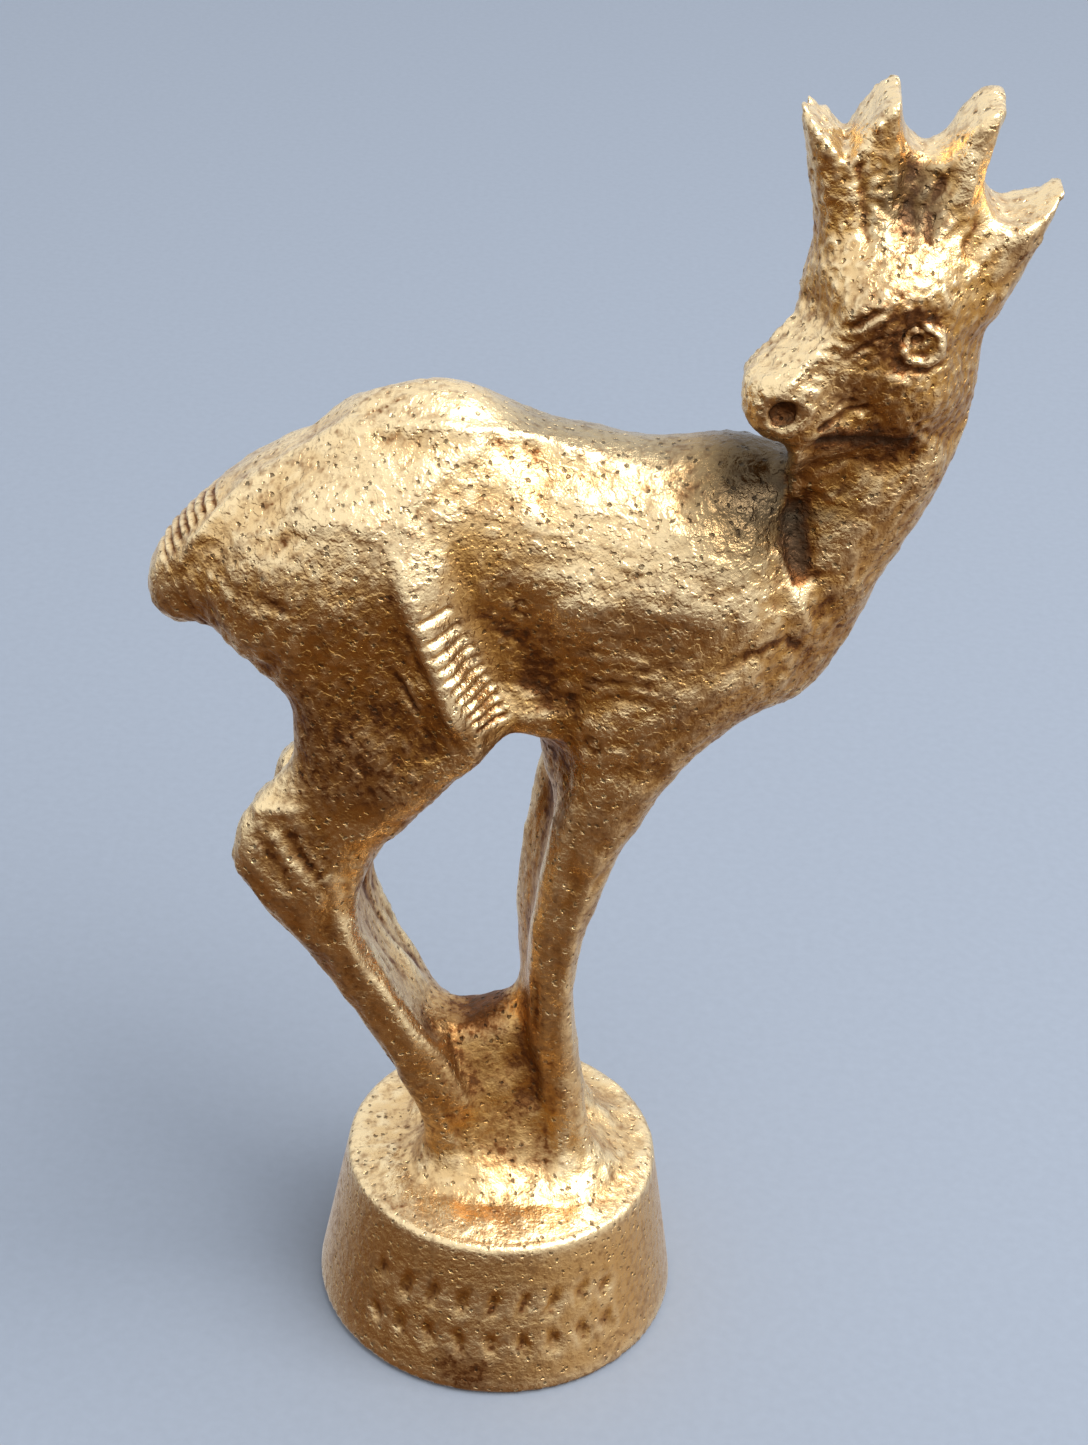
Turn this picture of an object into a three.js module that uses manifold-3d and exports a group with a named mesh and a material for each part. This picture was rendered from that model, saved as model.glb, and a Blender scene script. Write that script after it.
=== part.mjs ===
// A small cast brass deer that stands with its four feet gathered on a round base and looks back over its shoulder.
// Millimetres, +Z up, the deer faces +X and its right side faces -Y. The origin is the centre of the base's underside.
// The casting is one piece: its flesh is one blended field of ellipsoids and tapered limbs, turned into a mesh, and
// the base, the cut tops of ears and antlers, the eyes, the nostrils and the chiselled strokes are plain solids.
import * as THREE from "three";
import { mergeVertices } from "three/addons/utils/BufferGeometryUtils.js";
import Module from "manifold-3d";

const wasm = await Module();
wasm.setup();

// The turned base
const BASE_RADIUS = 11; // at the floor
const BASE_TOP_RADIUS = 9.25;
const BASE_HEIGHT = 10.7; // to the rim
const BASE_DOME = 0.35; // rise from the rim to the middle
const BASE_FOOT_ROUND = 0.45;
const BASE_SIDES = 64;

const SIDE = 3.1; // from the plane of the spine to the middle of a leg
const GAP_FOOT = { x: -2.8, z: 23.8, radius: 3.1 }; // the round foot of the gap between the legs

// The head
const HEAD_CENTRE = new THREE.Vector3(17.3, -0.9, 67.2);
const HEAD_TURN = 26; // degrees that the face turns from straight back towards -Y
const HEAD_NOD = 27; // degrees that the muzzle points below the level
const MUZZLE_TIP = 9.1; // from the head's centre to the tip of the nose
const EYE_RADIUS = 0.95;
const NOSTRIL_RADIUS = 0.95;

// The crown of ears and antlers is a plate as thick as this, and its cut tops rise to the far side
const CROWN_THICK = 4.2;
const CROWN_RISE = 0.18; // for each millimetre across

// The strokes that are chiselled round the front of the base, in two rows
const STROKE_COUNT = 9;
const STROKE_ARC = 84; // degrees from the first stroke to the last
const STROKE_ROWS = [
  { z: 6.4, long: 2.3, lean: 12 },
  { z: 3.6, long: 2.3, lean: -12 },
];
const STROKE_WIDE = 0.85;
const STROKE_DEEP = 0.4;

// The field: a number that is negative inside the metal, in millimetres near the skin

function blend(a, b, soft) {
  const share = Math.max(soft - Math.abs(a - b), 0) / soft;
  return Math.min(a, b) - (share * share * soft) / 4;
}

function carve(a, b, soft) {
  return -blend(-a, b, soft);
}

// An ellipsoid at a centre, turned about Y by tilt degrees, so that its X radius leans down.
function lump(centre, radii, tilt = 0) {
  const [cx, cy, cz] = centre;
  const [rx, ry, rz] = radii;
  const cos = Math.cos((tilt * Math.PI) / 180);
  const sin = Math.sin((tilt * Math.PI) / 180);
  return (x, y, z) => {
    const dx = x - cx;
    const dz = z - cz;
    const u = (dx * cos - dz * sin) / rx;
    const v = (y - cy) / ry;
    const w = (dx * sin + dz * cos) / rz;
    const k0 = Math.hypot(u, v, w);
    const k1 = Math.hypot(u / rx, v / ry, w / rz);
    return k0 < 1e-6 ? -Math.min(rx, ry, rz) : (k0 * (k0 - 1)) / k1;
  };
}

// A limb through stations of [x, y, z, radius in the plane of the spine, half-width across].
function limb(stations, step = 1.6) {
  const line = new THREE.CatmullRomCurve3(
    stations.map(([x, y, z]) => new THREE.Vector3(x, y, z)),
  );
  const size = new THREE.CatmullRomCurve3(
    stations.map(([, , , r, w], i) => new THREE.Vector3(r, w ?? r, i)),
  );
  const count = Math.ceil(line.getLength() / step);
  const at = [...Array(count + 1).keys()].map((i) => {
    const t = i / count;
    const p = line.getPoint(t);
    const s = size.getPoint(t);
    return [p.x, p.y, p.z, s.x, s.y];
  });
  return (x, y, z) => {
    let best = Infinity;
    for (let i = 0; i < count; i++) {
      const [ax, ay, az, ar, aw] = at[i];
      const [bx, by, bz, br, bw] = at[i + 1];
      const ex = bx - ax;
      const ey = by - ay;
      const ez = bz - az;
      const along =
        ((x - ax) * ex + (y - ay) * ey + (z - az) * ez) /
        (ex * ex + ey * ey + ez * ez);
      const t = Math.min(1, Math.max(0, along));
      const r = ar + (br - ar) * t;
      const w = aw + (bw - aw) * t;
      const dx = x - ax - ex * t;
      const dy = ((y - ay - ey * t) * r) / w;
      const dz = z - az - ez * t;
      const d = (Math.hypot(dx, dy, dz) - r) * Math.min(1, w / r);
      if (d < best) best = d;
    }
    return best;
  };
}

// The head's own axes: forward along the muzzle, left towards its left cheek, and up
const yaw = (HEAD_TURN * Math.PI) / 180;
const nod = (HEAD_NOD * Math.PI) / 180;
const FORWARD = new THREE.Vector3(
  -Math.cos(yaw) * Math.cos(nod),
  -Math.sin(yaw) * Math.cos(nod),
  -Math.sin(nod),
);
const LEFT = new THREE.Vector3(Math.sin(yaw), -Math.cos(yaw), 0);
const UP = new THREE.Vector3().crossVectors(FORWARD, LEFT);

function headPoint(forward, left, up) {
  return HEAD_CENTRE.clone()
    .addScaledVector(FORWARD, forward)
    .addScaledVector(LEFT, left)
    .addScaledVector(UP, up);
}

// Runs a shape that is stated in the head's axes at a point of the part's frame.
function inHead(shape) {
  return (x, y, z) => {
    const dx = x - HEAD_CENTRE.x;
    const dy = y - HEAD_CENTRE.y;
    const dz = z - HEAD_CENTRE.z;
    return shape(
      dx * FORWARD.x + dy * FORWARD.y + dz * FORWARD.z,
      dx * LEFT.x + dy * LEFT.y + dz * LEFT.z,
      dx * UP.x + dy * UP.y + dz * UP.z,
    );
  };
}

// The flesh, part by part

function makeTorso() {
  const barrel = limb([
    [-18.5, 0, 48.7, 2.2, 2],
    [-15.6, 0, 50.4, 4, 3.3],
    [-11.8, 0, 51.4, 5.7, 4.5],
    [-8, 0, 52.2, 6.8, 4.9],
    [-4.8, 0, 52.3, 7.7, 5],
    [-1, 0, 51.3, 8.2, 5],
    [3, 0, 50.4, 8.4, 5.2],
    [7, 0, 50.2, 8.1, 5.2],
    [10.6, 0, 50.3, 7.2, 4.7],
  ]);
  const croup = lump([-5.9, 0, 57], [4.4, 2.6, 3.9]);
  const belly = lump([0.5, 0, 44], [3, 4.6, 2.5]);
  const withers = lump([10.3, 0, 55.2], [5.2, 3.2, 3.85]);
  return (x, y, z) => {
    let d = blend(barrel(x, y, z), croup(x, y, z), 2.4);
    d = blend(d, withers(x, y, z), 1.4);
    return blend(d, belly(x, y, z), 1);
  };
}

// One hind leg from the haunch to the hoof, with its middle at side and its hock moved forward by ahead.
function makeHindLeg(side, ahead) {
  const haunch = lump([-9.4, side * 0.85, 51.4], [8, 3.2, 5], -38);
  const thigh = limb([
    [-8.4 + ahead, side * 0.9, 50.4, 4.4, 2.8],
    [-8.3 + ahead, side, 45.6, 4.4, 2.9],
    [-8 + ahead, side, 41.8, 4.4, 2.7],
    [-8.7 + ahead, side, 38.6, 3.7, 2.4],
    [-10.4 + ahead, side, 35.8, 3, 2],
  ]);
  const ridge = limb([
    [-11, side * 1.1, 54.2, 1.4, 1.2],
    [-8.6, side * 1.28, 54.8, 1.5, 1.3],
    [-6.8, side * 1.48, 53.4, 1.5, 1.4],
    [-6, side * 1.66, 50, 1.5, 1.5],
    [-4.9, side * 1.7, 46.6, 1.6, 1.5],
    [-3.5, side * 1.45, 44.4, 1.7, 1.7],
    [-2.8, side * 1.35, 42.8, 1.5, 1.7],
    [-4.3, side * 1.25, 41.3, 1.6, 1.9],
    [-6.4, side * 1.15, 39.4, 1.8, 2],
  ]);
  const hock = limb([
    [-10.8 + ahead, side, 38.8, 1.6, 1.4],
    [-12.8 + ahead, side, 36, 2.1, 1.6],
    [-13.5 + ahead, side, 33.6, 2.4, 1.8],
    [-12.2 + ahead, side, 31.6, 2.4, 1.8],
  ]);
  const shank = limb([
    [-11.2 + ahead, side, 32.6, 2.8, 1.9],
    [-11 + ahead * 0.5, side, 30, 2.2, 1.7],
    [-9.9 - ahead * 0.2, side, 27.4, 1.7, 1.6],
    [-7.9 - ahead * 0.45, side * 0.95, 24, 1.55, 1.5],
    [-5.9 - ahead * 0.45, side * 0.9, 20.4, 1.5, 1.5],
    [-4.4 - ahead * 0.2, side * 0.85, 17.4, 1.6, 1.55],
    [-3.2, side * 0.8, 14.6, 1.6, 1.6],
    [-2.4, side * 0.8, 11.6, 2, 1.9],
  ]);
  return (x, y, z) => {
    let d = blend(haunch(x, y, z), thigh(x, y, z), 2);
    d = blend(d, ridge(x, y, z), 1);
    d = blend(d, hock(x, y, z), 1);
    return blend(d, shank(x, y, z), 1.2);
  };
}

function makeForeLeg(side, behind) {
  return limb([
    [7.6 - behind * 0.3, side * 0.9, 46, 4, 2.6],
    [6 - behind * 0.6, side, 42.2, 3.1, 2.4],
    [4.7 - behind, side, 38.6, 2.5, 2.1],
    [3.6 - behind, side, 35, 2.05, 1.85],
    [2.8 - behind, side * 0.95, 31, 1.75, 1.65],
    [2.4 - behind, side * 0.9, 27, 1.5, 1.5],
    [2.5 - behind * 0.9, side * 0.85, 23.4, 1.35, 1.4],
    [2.9 - behind * 0.7, side * 0.8, 20, 1.4, 1.45],
    [3.4 - behind * 0.5, side * 0.75, 16.4, 1.35, 1.45],
    [3.7 - behind * 0.4, side * 0.75, 12.5, 1.7, 1.7],
    [3.8 - behind * 0.4, side * 0.75, 10.8, 2, 1.9],
  ]);
}

// The metal that joins each pair of legs, set back so that a groove shows between them
function makeLegCores() {
  return [
    limb([
      [-8.6, 0, 40.6, 3.2, 2.8],
      [-10.2, 0, 36, 2.5, 2.7],
      [-10.8, 0, 31.4, 1.8, 2.7],
      [-9.9, 0, 27.4, 1.3, 2.6],
      [-8, 0, 24, 1.2, 2.6],
      [-6, 0, 20.4, 1.2, 2.6],
    ]),
    limb([
      [4.6, 0, 43, 3.6, 3.6],
      [3.6, 0, 39.4, 2.6, 3],
      [3.7, 0, 36, 1.8, 2.7],
      [3.1, 0, 33, 1.5, 2.7],
      [2.2, 0, 29, 1.2, 2.6],
      [2, 0, 25, 1.1, 2.6],
      [2.3, 0, 20.4, 1.1, 2.6],
    ]),
  ];
}

function makeShoulders() {
  const chest = limb([
    [8, 0, 47.4, 5.4, 4.9],
    [10.2, 0, 49.3, 5.6, 4.9],
  ]);
  const blades = [-1, 1].map((out) =>
    lump([8.7, out * 2.7, 51.9], [4.6, 2.8, 5.2], 8),
  );
  const arms = [-1, 1].flatMap((out) => [
    lump([8.4, out * 2.9, 46.6], [4.4, 2.4, 2.6], -42),
    lump([4.4, out * 3.4, 43.6], [2, 1.6, 1.5], -30),
  ]);
  return (x, y, z) => {
    let d = chest(x, y, z);
    for (const bulge of [...blades, ...arms]) d = blend(d, bulge(x, y, z), 0.7);
    return d;
  };
}

// The hollows of each side: the flank before the thigh, and the crease between shoulder and neck
function makeHollows() {
  return [-1, 1].flatMap((out) => [
    lump([0.2, out * 7, 47], [3, 3, 5], -16),
    lump([13.1, out * 5.2, 55.8], [1.1, 2.4, 3.8], -6),
  ]);
}

function makeNeck() {
  return limb([
    [11.3, 0, 49.4, 4.4, 4.1],
    [14.2, 0, 53, 4.1, 3.6],
    [16.6, 0, 57, 3.7, 3.4],
    [17.9, 0, 61, 3.7, 3.3],
    [18.1, 0, 65, 3.7, 3.3],
    [17.7, 0, 67.5, 3.8, 3.3],
  ]);
}

function makeHead() {
  const skull = lump([0.2, 0, 0.9], [4.4, 3.9, 3.9]);
  const muzzle = limb([
    [2, 0, -0.4, 3.1, 3],
    [5.4, 0, -0.5, 2.5, 2.3],
    [MUZZLE_TIP - 2.1, 0, -0.5, 2.25, 2.2],
  ]);
  const jaw = limb([
    [0.8, 0, -4.6, 2.4, 2.9],
    [3, 0, -4.6, 2.2, 2.7],
    [5.4, 0, -3.5, 1.8, 2.3],
    [MUZZLE_TIP - 1.3, 0, -1.35, 1.35, 1.7],
  ]);
  const cheeks = [-1, 1].map((out) =>
    lump([1.5, out * 2, -2.3], [2.7, 2, 3.8]),
  );
  const brows = [-1, 1].map((out) =>
    lump([1.3, out * 2.6, 2.1], [2, 1.4, 1.3], -10),
  );
  const sockets = [-1, 1].map((out) =>
    lump([1.2, out * 4.5, 0.2], [1.5, 1.2, 1.1]),
  );
  return inHead((f, l, u) => {
    let d = blend(skull(f, l, u), muzzle(f, l, u), 1.6);
    d = blend(d, jaw(f, l, u), 0.8);
    for (const cheek of cheeks) d = blend(d, cheek(f, l, u), 0.8);
    for (const brow of brows) d = blend(d, brow(f, l, u), 1.2);
    for (const socket of sockets) d = carve(d, socket(f, l, u), 0.6);
    return d;
  });
}

// Ears and antlers, before their tops are cut: [base x, z, radius], [tip x, z, radius]
const PRONGS = [
  [[14.5, 70.2, 1.5], [12.9, 77.4, 1.5]], // right ear
  [[15.6, 70.5, 1.3], [15.4, 79.2, 1]], // right antler
  [[18.7, 70.5, 1.3], [20.6, 78.8, 1]], // left antler
  [[20.4, 68.3, 2.4], [23.9, 73.9, 1]], // left ear
];

function makeCrown() {
  const prongs = PRONGS.map(([[ax, az, ar], [bx, bz, br]]) =>
    limb([
      [ax, 0, az, ar, CROWN_THICK / 2 + 0.5],
      [(ax + bx) / 2, 0, (az + bz) / 2, (ar + br) / 2, CROWN_THICK / 2 + 0.1],
      [bx, 0, bz, br, CROWN_THICK / 2 - 0.2],
    ]),
  );
  const web = lump([17.2, 0, 71.6], [4.2, 1.7, 4.8]);
  const earWeb = lump([20.4, 0, 70.4], [2.4, 2.1, 3.4]);
  return (x, y, z) => {
    let d = blend(web(x, y, z), earWeb(x, y, z), 1);
    for (const prong of prongs) d = blend(d, prong(x, y, z), 0.5);
    return d;
  };
}

const torso = makeTorso();
const legs = [
  makeHindLeg(-SIDE, 0),
  makeHindLeg(SIDE + 0.1, 1.5),
  makeForeLeg(-SIDE + 0.1, 0),
  makeForeLeg(SIDE - 0.2, 0.9),
  ...makeLegCores(),
];
const shoulders = makeShoulders();
const neck = makeNeck();
const head = makeHead();
const crown = makeCrown();
const hollows = makeHollows();
const web = limb([
  [-2.6, 0, 20.8, 3.6, 1.5],
  [-1.4, 0, 17.6, 3.4, 2.6],
  [0.2, 0, 12.6, 3.2, 3.8],
]);
const chinWeb = limb([
  [13.3, -3.4, 61.8, 1.3, 1.2],
  [13.8, -2.3, 59.4, 1.2, 1.2],
  [14.2, -1.2, 57, 1.1, 1.2],
]);
const mound = lump([0.8, -0.1, BASE_HEIGHT - 0.9], [8.4, 7.6, 1.85]);

function flesh(x, y, z) {
  let d = blend(torso(x, y, z), shoulders(x, y, z), 1.2);
  d = blend(d, neck(x, y, z), 0.8);
  let under = legs[0](x, y, z);
  for (const leg of legs.slice(1)) under = blend(under, leg(x, y, z), 0.9);
  const span = Math.hypot(x - GAP_FOOT.x, z - GAP_FOOT.z) - GAP_FOOT.radius;
  under = blend(under, carve(web(x, y, z), span, 0.8), 1.2);
  under = blend(under, mound(x, y, z), 2.6);
  d = blend(d, under, 1.5);
  for (const hollow of hollows) d = carve(d, hollow(x, y, z), 1.6);
  d = blend(d, blend(head(x, y, z), crown(x, y, z), 1.2), 0.5);
  d = blend(d, chinWeb(x, y, z), 0.6);
  return Math.max(d, BASE_HEIGHT - 2 - z);
}

// Turning the field into a mesh: one vertex in each cell that the skin crosses, then pulled onto the skin

function gridLine(from, to, stepAt) {
  const line = [from];
  while (line.at(-1) < to) line.push(line.at(-1) + stepAt(line.at(-1)));
  return line;
}

const STEPS = [[1, 0, 0], [0, 1, 0], [0, 0, 1]];

// Where metal would meet only corner to corner across a cell's face, the less open of the other two nodes is filled.
function fillPinches(value, id, nx, ny, nz) {
  let filled = 0;
  for (let k = 0; k < nz - 1; k++)
    for (let j = 0; j < ny - 1; j++)
      for (let i = 0; i < nx - 1; i++)
        for (let axis = 0; axis < 3; axis++) {
          const [p, q] = [STEPS[(axis + 1) % 3], STEPS[(axis + 2) % 3]];
          const at = (m, n) => id(i + m * p[0] + n * q[0], j + m * p[1] + n * q[1], k + m * p[2] + n * q[2]);
          const face = [at(0, 0), at(1, 0), at(1, 1), at(0, 1)];
          const [a, b, c, d] = face.map((node) => value[node] < 0);
          if (a !== c || b !== d || a === b) continue;
          const [m, n] = a ? [face[1], face[3]] : [face[0], face[2]];
          value[value[m] < value[n] ? m : n] = -1e-3;
          filled++;
        }
  return filled;
}

function skinOf(field, xs, ys, zs) {
  const [nx, ny, nz] = [xs.length, ys.length, zs.length];
  const id = (i, j, k) => (k * ny + j) * nx + i;
  const value = new Float64Array(nx * ny * nz);
  for (let k = 0; k < nz; k++)
    for (let j = 0; j < ny; j++)
      for (let i = 0; i < nx; i++)
        value[id(i, j, k)] = field(xs[i], ys[j], zs[k]);
  while (fillPinches(value, id, nx, ny, nz) > 0);

  const vertexOf = new Int32Array(nx * ny * nz).fill(-1);
  const points = [];
  const corners = [0, 1, 2, 3, 4, 5, 6, 7].map((c) => [c & 1, (c >> 1) & 1, c >> 2]);
  const edges = corners.flatMap((a, m) =>
    corners
      .map((b, n) => [m, n])
      .filter(([p, n]) => n > p && [1, 2, 4].includes(p ^ n)),
  );
  for (let k = 0; k < nz - 1; k++)
    for (let j = 0; j < ny - 1; j++)
      for (let i = 0; i < nx - 1; i++) {
        const v = corners.map(([a, b, c]) => value[id(i + a, j + b, k + c)]);
        const sum = new THREE.Vector3();
        let crossings = 0;
        for (const [m, n] of edges) {
          if (v[m] < 0 === v[n] < 0) continue;
          const t = v[m] / (v[m] - v[n]);
          const [a, b] = [corners[m], corners[n]];
          sum.x += xs[i + a[0]] + t * (xs[i + b[0]] - xs[i + a[0]]);
          sum.y += ys[j + a[1]] + t * (ys[j + b[1]] - ys[j + a[1]]);
          sum.z += zs[k + a[2]] + t * (zs[k + b[2]] - zs[k + a[2]]);
          crossings++;
        }
        if (!crossings) continue;
        vertexOf[id(i, j, k)] = points.length;
        points.push(sum.divideScalar(crossings));
      }

  const quads = [];
  for (let k = 1; k < nz - 1; k++)
    for (let j = 1; j < ny - 1; j++)
      for (let i = 1; i < nx - 1; i++)
        STEPS.forEach(([a, b, c], axis) => {
          const inside = value[id(i, j, k)] < 0;
          if (inside === value[id(i + a, j + b, k + c)] < 0) return;
          const [p, q] = [STEPS[(axis + 1) % 3], STEPS[(axis + 2) % 3]];
          const cell = (m, n) =>
            vertexOf[id(i - m * p[0] - n * q[0], j - m * p[1] - n * q[1], k - m * p[2] - n * q[2])];
          const quad = [cell(1, 1), cell(0, 1), cell(0, 0), cell(1, 0)];
          quads.push(inside ? quad : quad.reverse());
        });
  return { points, quads };
}

function settle(field, points, quads, rounds) {
  const near = points.map(() => new Set());
  for (const q of quads)
    q.forEach((v, i) => near[v].add(q[(i + 1) % 4]).add(q[(i + 3) % 4]));
  const reach = 0.02;
  const pull = (p) => {
    const f = field(p.x, p.y, p.z);
    const g = new THREE.Vector3(
      field(p.x + reach, p.y, p.z) - f,
      field(p.x, p.y + reach, p.z) - f,
      field(p.x, p.y, p.z + reach) - f,
    ).divideScalar(reach);
    const move = -f / Math.max(g.lengthSq(), 0.25);
    p.addScaledVector(g, Math.min(0.4, Math.max(-0.4, move)));
  };
  for (let round = 0; round < rounds; round++) {
    const before = points.map((p) => p.clone());
    points.forEach((p, v) => {
      const mean = new THREE.Vector3();
      for (const n of near[v]) mean.add(before[n]);
      mean.divideScalar(near[v].size);
      p.lerp(mean, 0.4);
      pull(p);
    });
  }
}

// The field's skin as a closed geometry, each quad split along its shorter diagonal.
function meshOf(field, xs, ys, zs) {
  const { points, quads } = skinOf(field, xs, ys, zs);
  settle(field, points, quads, 4);
  const index = quads.flatMap(([a, b, c, d]) =>
    points[a].distanceTo(points[c]) < points[b].distanceTo(points[d])
      ? [a, b, c, a, c, d]
      : [a, b, d, b, c, d],
  );
  return new THREE.BufferGeometry()
    .setAttribute(
      "position",
      new THREE.Float32BufferAttribute(points.flatMap((p) => p.toArray()), 3),
    )
    .setIndex(index);
}

// Plain solids in and out of manifold-3d

function solid(geometry) {
  const bare = geometry.clone();
  bare.deleteAttribute("normal");
  bare.deleteAttribute("uv");
  const merged = mergeVertices(bare, 1e-4);
  return new wasm.Manifold(
    new wasm.Mesh({
      numProp: 3,
      vertProperties: merged.attributes.position.array,
      triVerts: new Uint32Array(merged.index.array),
    }),
  );
}

function geometryOf(made) {
  const mesh = made.getMesh();
  const geometry = new THREE.BufferGeometry()
    .setAttribute("position", new THREE.BufferAttribute(mesh.vertProperties, 3))
    .setIndex(new THREE.BufferAttribute(mesh.triVerts, 1));
  geometry.computeVertexNormals();
  return geometry;
}

function makeBase() {
  const profile = new THREE.Path()
    .moveTo(0, 0)
    .lineTo(BASE_RADIUS - BASE_FOOT_ROUND, 0)
    .quadraticCurveTo(BASE_RADIUS, 0, BASE_RADIUS - 0.03, BASE_FOOT_ROUND)
    .lineTo(BASE_TOP_RADIUS + 0.05, BASE_HEIGHT - 0.3)
    .quadraticCurveTo(BASE_TOP_RADIUS, BASE_HEIGHT, BASE_TOP_RADIUS - 0.4, BASE_HEIGHT + 0.02)
    .quadraticCurveTo(BASE_TOP_RADIUS / 2, BASE_HEIGHT + BASE_DOME, 0, BASE_HEIGHT + BASE_DOME);
  return new THREE.LatheGeometry(profile.getPoints(2), BASE_SIDES).rotateX(Math.PI / 2);
}

// What is taken off above the crown, as one outline in X and Z that runs through it and rises to the far side.
function makeCrownCut() {
  const outline = new THREE.Shape()
    .moveTo(6, 84)
    .lineTo(6, 79)
    .lineTo(11.3, 77.2)
    .lineTo(13.1, 75.9)
    .lineTo(13.9, 74.9)
    .lineTo(14.3, 76)
    .lineTo(15.5, 77.8)
    .lineTo(16.2, 78.1)
    .quadraticCurveTo(16.3, 75.2, 17.7, 75.1)
    .quadraticCurveTo(18.6, 75.2, 19, 76.3)
    .lineTo(20.3, 77.8)
    .lineTo(21.5, 77.8)
    .quadraticCurveTo(20.7, 76, 20.6, 74.2)
    .quadraticCurveTo(20.8, 72.3, 22, 72.2)
    .quadraticCurveTo(23.4, 72.4, 24.8, 73.7)
    .lineTo(30, 73.2)
    .lineTo(30, 84);
  const shear = new THREE.Matrix4().makeShear(0, 0, 0, CROWN_RISE, 0, 0);
  return new THREE.ExtrudeGeometry(outline, { depth: 30, bevelEnabled: false, curveSegments: 5 })
    .rotateX(Math.PI / 2)
    .translate(0, 15, 0)
    .applyMatrix4(shear);
}

function placeInHead(geometry, at, outward) {
  const turn = new THREE.Quaternion().setFromUnitVectors(new THREE.Vector3(0, 0, 1), outward);
  return geometry.applyQuaternion(turn).translate(at.x, at.y, at.z);
}

function makeEyes() {
  return [-1, 1].map((out) =>
    placeInHead(
      new THREE.TorusGeometry(EYE_RADIUS, 0.36, 7, 14),
      headPoint(1.05, out * 3.72, 0.05),
      LEFT.clone().multiplyScalar(out).addScaledVector(FORWARD, 0.25).normalize(),
    ),
  );
}

function makeNostrils() {
  return [-1, 1].map((out) =>
    placeInHead(
      new THREE.SphereGeometry(NOSTRIL_RADIUS, 10, 8),
      headPoint(MUZZLE_TIP - 0.75, out * 2.25, -0.45),
      LEFT.clone().multiplyScalar(out),
    ),
  );
}

// A pit beside the nose before each eye
function makeTearPits() {
  return [-1, 1].map((out) =>
    placeInHead(
      new THREE.SphereGeometry(0.45, 8, 6).scale(1.3, 0.8, 1),
      headPoint(2.7, out * 3.55, 2.2),
      LEFT.clone().multiplyScalar(out),
    ),
  );
}

// What is taken off the bridge of the nose: an outline in the head's forward and up, run across it.
function makeBridgeCut() {
  const outline = new THREE.Shape()
    .moveTo(MUZZLE_TIP + 1, 0.9)
    .lineTo(5, 1.7)
    .quadraticCurveTo(3.4, 2, 2.7, 5.2)
    .lineTo(MUZZLE_TIP + 1, 5.2);
  const cut = new THREE.ExtrudeGeometry(outline, { depth: 8, bevelEnabled: false, curveSegments: 4 });
  const axes = new THREE.Matrix4().makeBasis(FORWARD, UP, LEFT.clone().negate());
  return cut.translate(0, 0, -4).applyMatrix4(axes.setPosition(HEAD_CENTRE));
}

// One chisel stroke: a long dent in the base at an angle round it.
function makeStroke(angle, row) {
  const slope = (BASE_RADIUS - BASE_TOP_RADIUS) / BASE_HEIGHT;
  const stroke = new THREE.SphereGeometry(1, 6, 4).rotateX(Math.PI / 2);
  stroke.scale(STROKE_WIDE / 2, STROKE_DEEP, row.long / 2);
  stroke.rotateY((row.lean * Math.PI) / 180).rotateX(-slope);
  stroke.translate(0, -(BASE_RADIUS - slope * row.z), row.z);
  return stroke.rotateZ(angle);
}

function makeStrokes() {
  return STROKE_ROWS.flatMap((row) =>
    [...Array(STROKE_COUNT).keys()].map((i) => {
      const degrees = STROKE_ARC * (i / (STROKE_COUNT - 1) - 0.5);
      return makeStroke((degrees * Math.PI) / 180, row);
    }),
  );
}

function makeFigurine() {
  const xs = gridLine(-24, 28, (x) => (x < 9 ? 1.5 : 1.12));
  const ys = gridLine(-10, 10, () => 1.22);
  const zs = gridLine(6, 82, (z) => (z > 59 ? 1.04 : z > 18 && z < 24 ? 1.1 : 1.5));
  let figure = solid(meshOf(flesh, xs, ys, zs));
  figure = figure.subtract(solid(makeCrownCut()));
  for (const eye of makeEyes()) figure = figure.add(solid(eye));
  for (const cut of [makeBridgeCut(), ...makeNostrils(), ...makeTearPits()])
    figure = figure.subtract(solid(cut));
  let base = solid(makeBase());
  for (const stroke of makeStrokes()) base = base.subtract(solid(stroke));
  return geometryOf(figure.add(base));
}

const brass = new THREE.MeshStandardMaterial({
  color: 0xb8863b,
  roughness: 0.38,
  metalness: 1,
});

const figurine = new THREE.Mesh(makeFigurine(), brass);
figurine.name = "deer_and_base";

const part = new THREE.Group();
part.add(figurine);

export default part;
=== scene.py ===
"""Dresses the small cast brass deer: one casting with its carving, tool marks and oxide, with painted shade
and highlights in its colour, on pale paper.
"""

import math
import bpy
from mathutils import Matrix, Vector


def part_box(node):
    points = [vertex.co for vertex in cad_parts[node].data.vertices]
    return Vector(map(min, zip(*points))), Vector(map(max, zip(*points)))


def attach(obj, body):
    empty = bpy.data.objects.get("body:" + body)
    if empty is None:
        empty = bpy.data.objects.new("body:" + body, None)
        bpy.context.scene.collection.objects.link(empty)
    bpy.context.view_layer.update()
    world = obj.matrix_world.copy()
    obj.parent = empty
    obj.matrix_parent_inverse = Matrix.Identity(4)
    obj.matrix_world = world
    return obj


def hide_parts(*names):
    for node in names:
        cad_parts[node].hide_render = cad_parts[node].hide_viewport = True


bl_info = {
    "name": "Cast Brass Deer",
    "version": (1, 0, 0),
    "blender": (4, 5, 0),
    "location": "View3D > Sidebar > Brass Deer",
    "description": "Dresses a small brass deer with the carving, tool marks and patina of a sand casting",
    "category": "Object",
}

import bmesh
import bpy
import numpy as np
from mathutils import Matrix, Vector, noise

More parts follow.
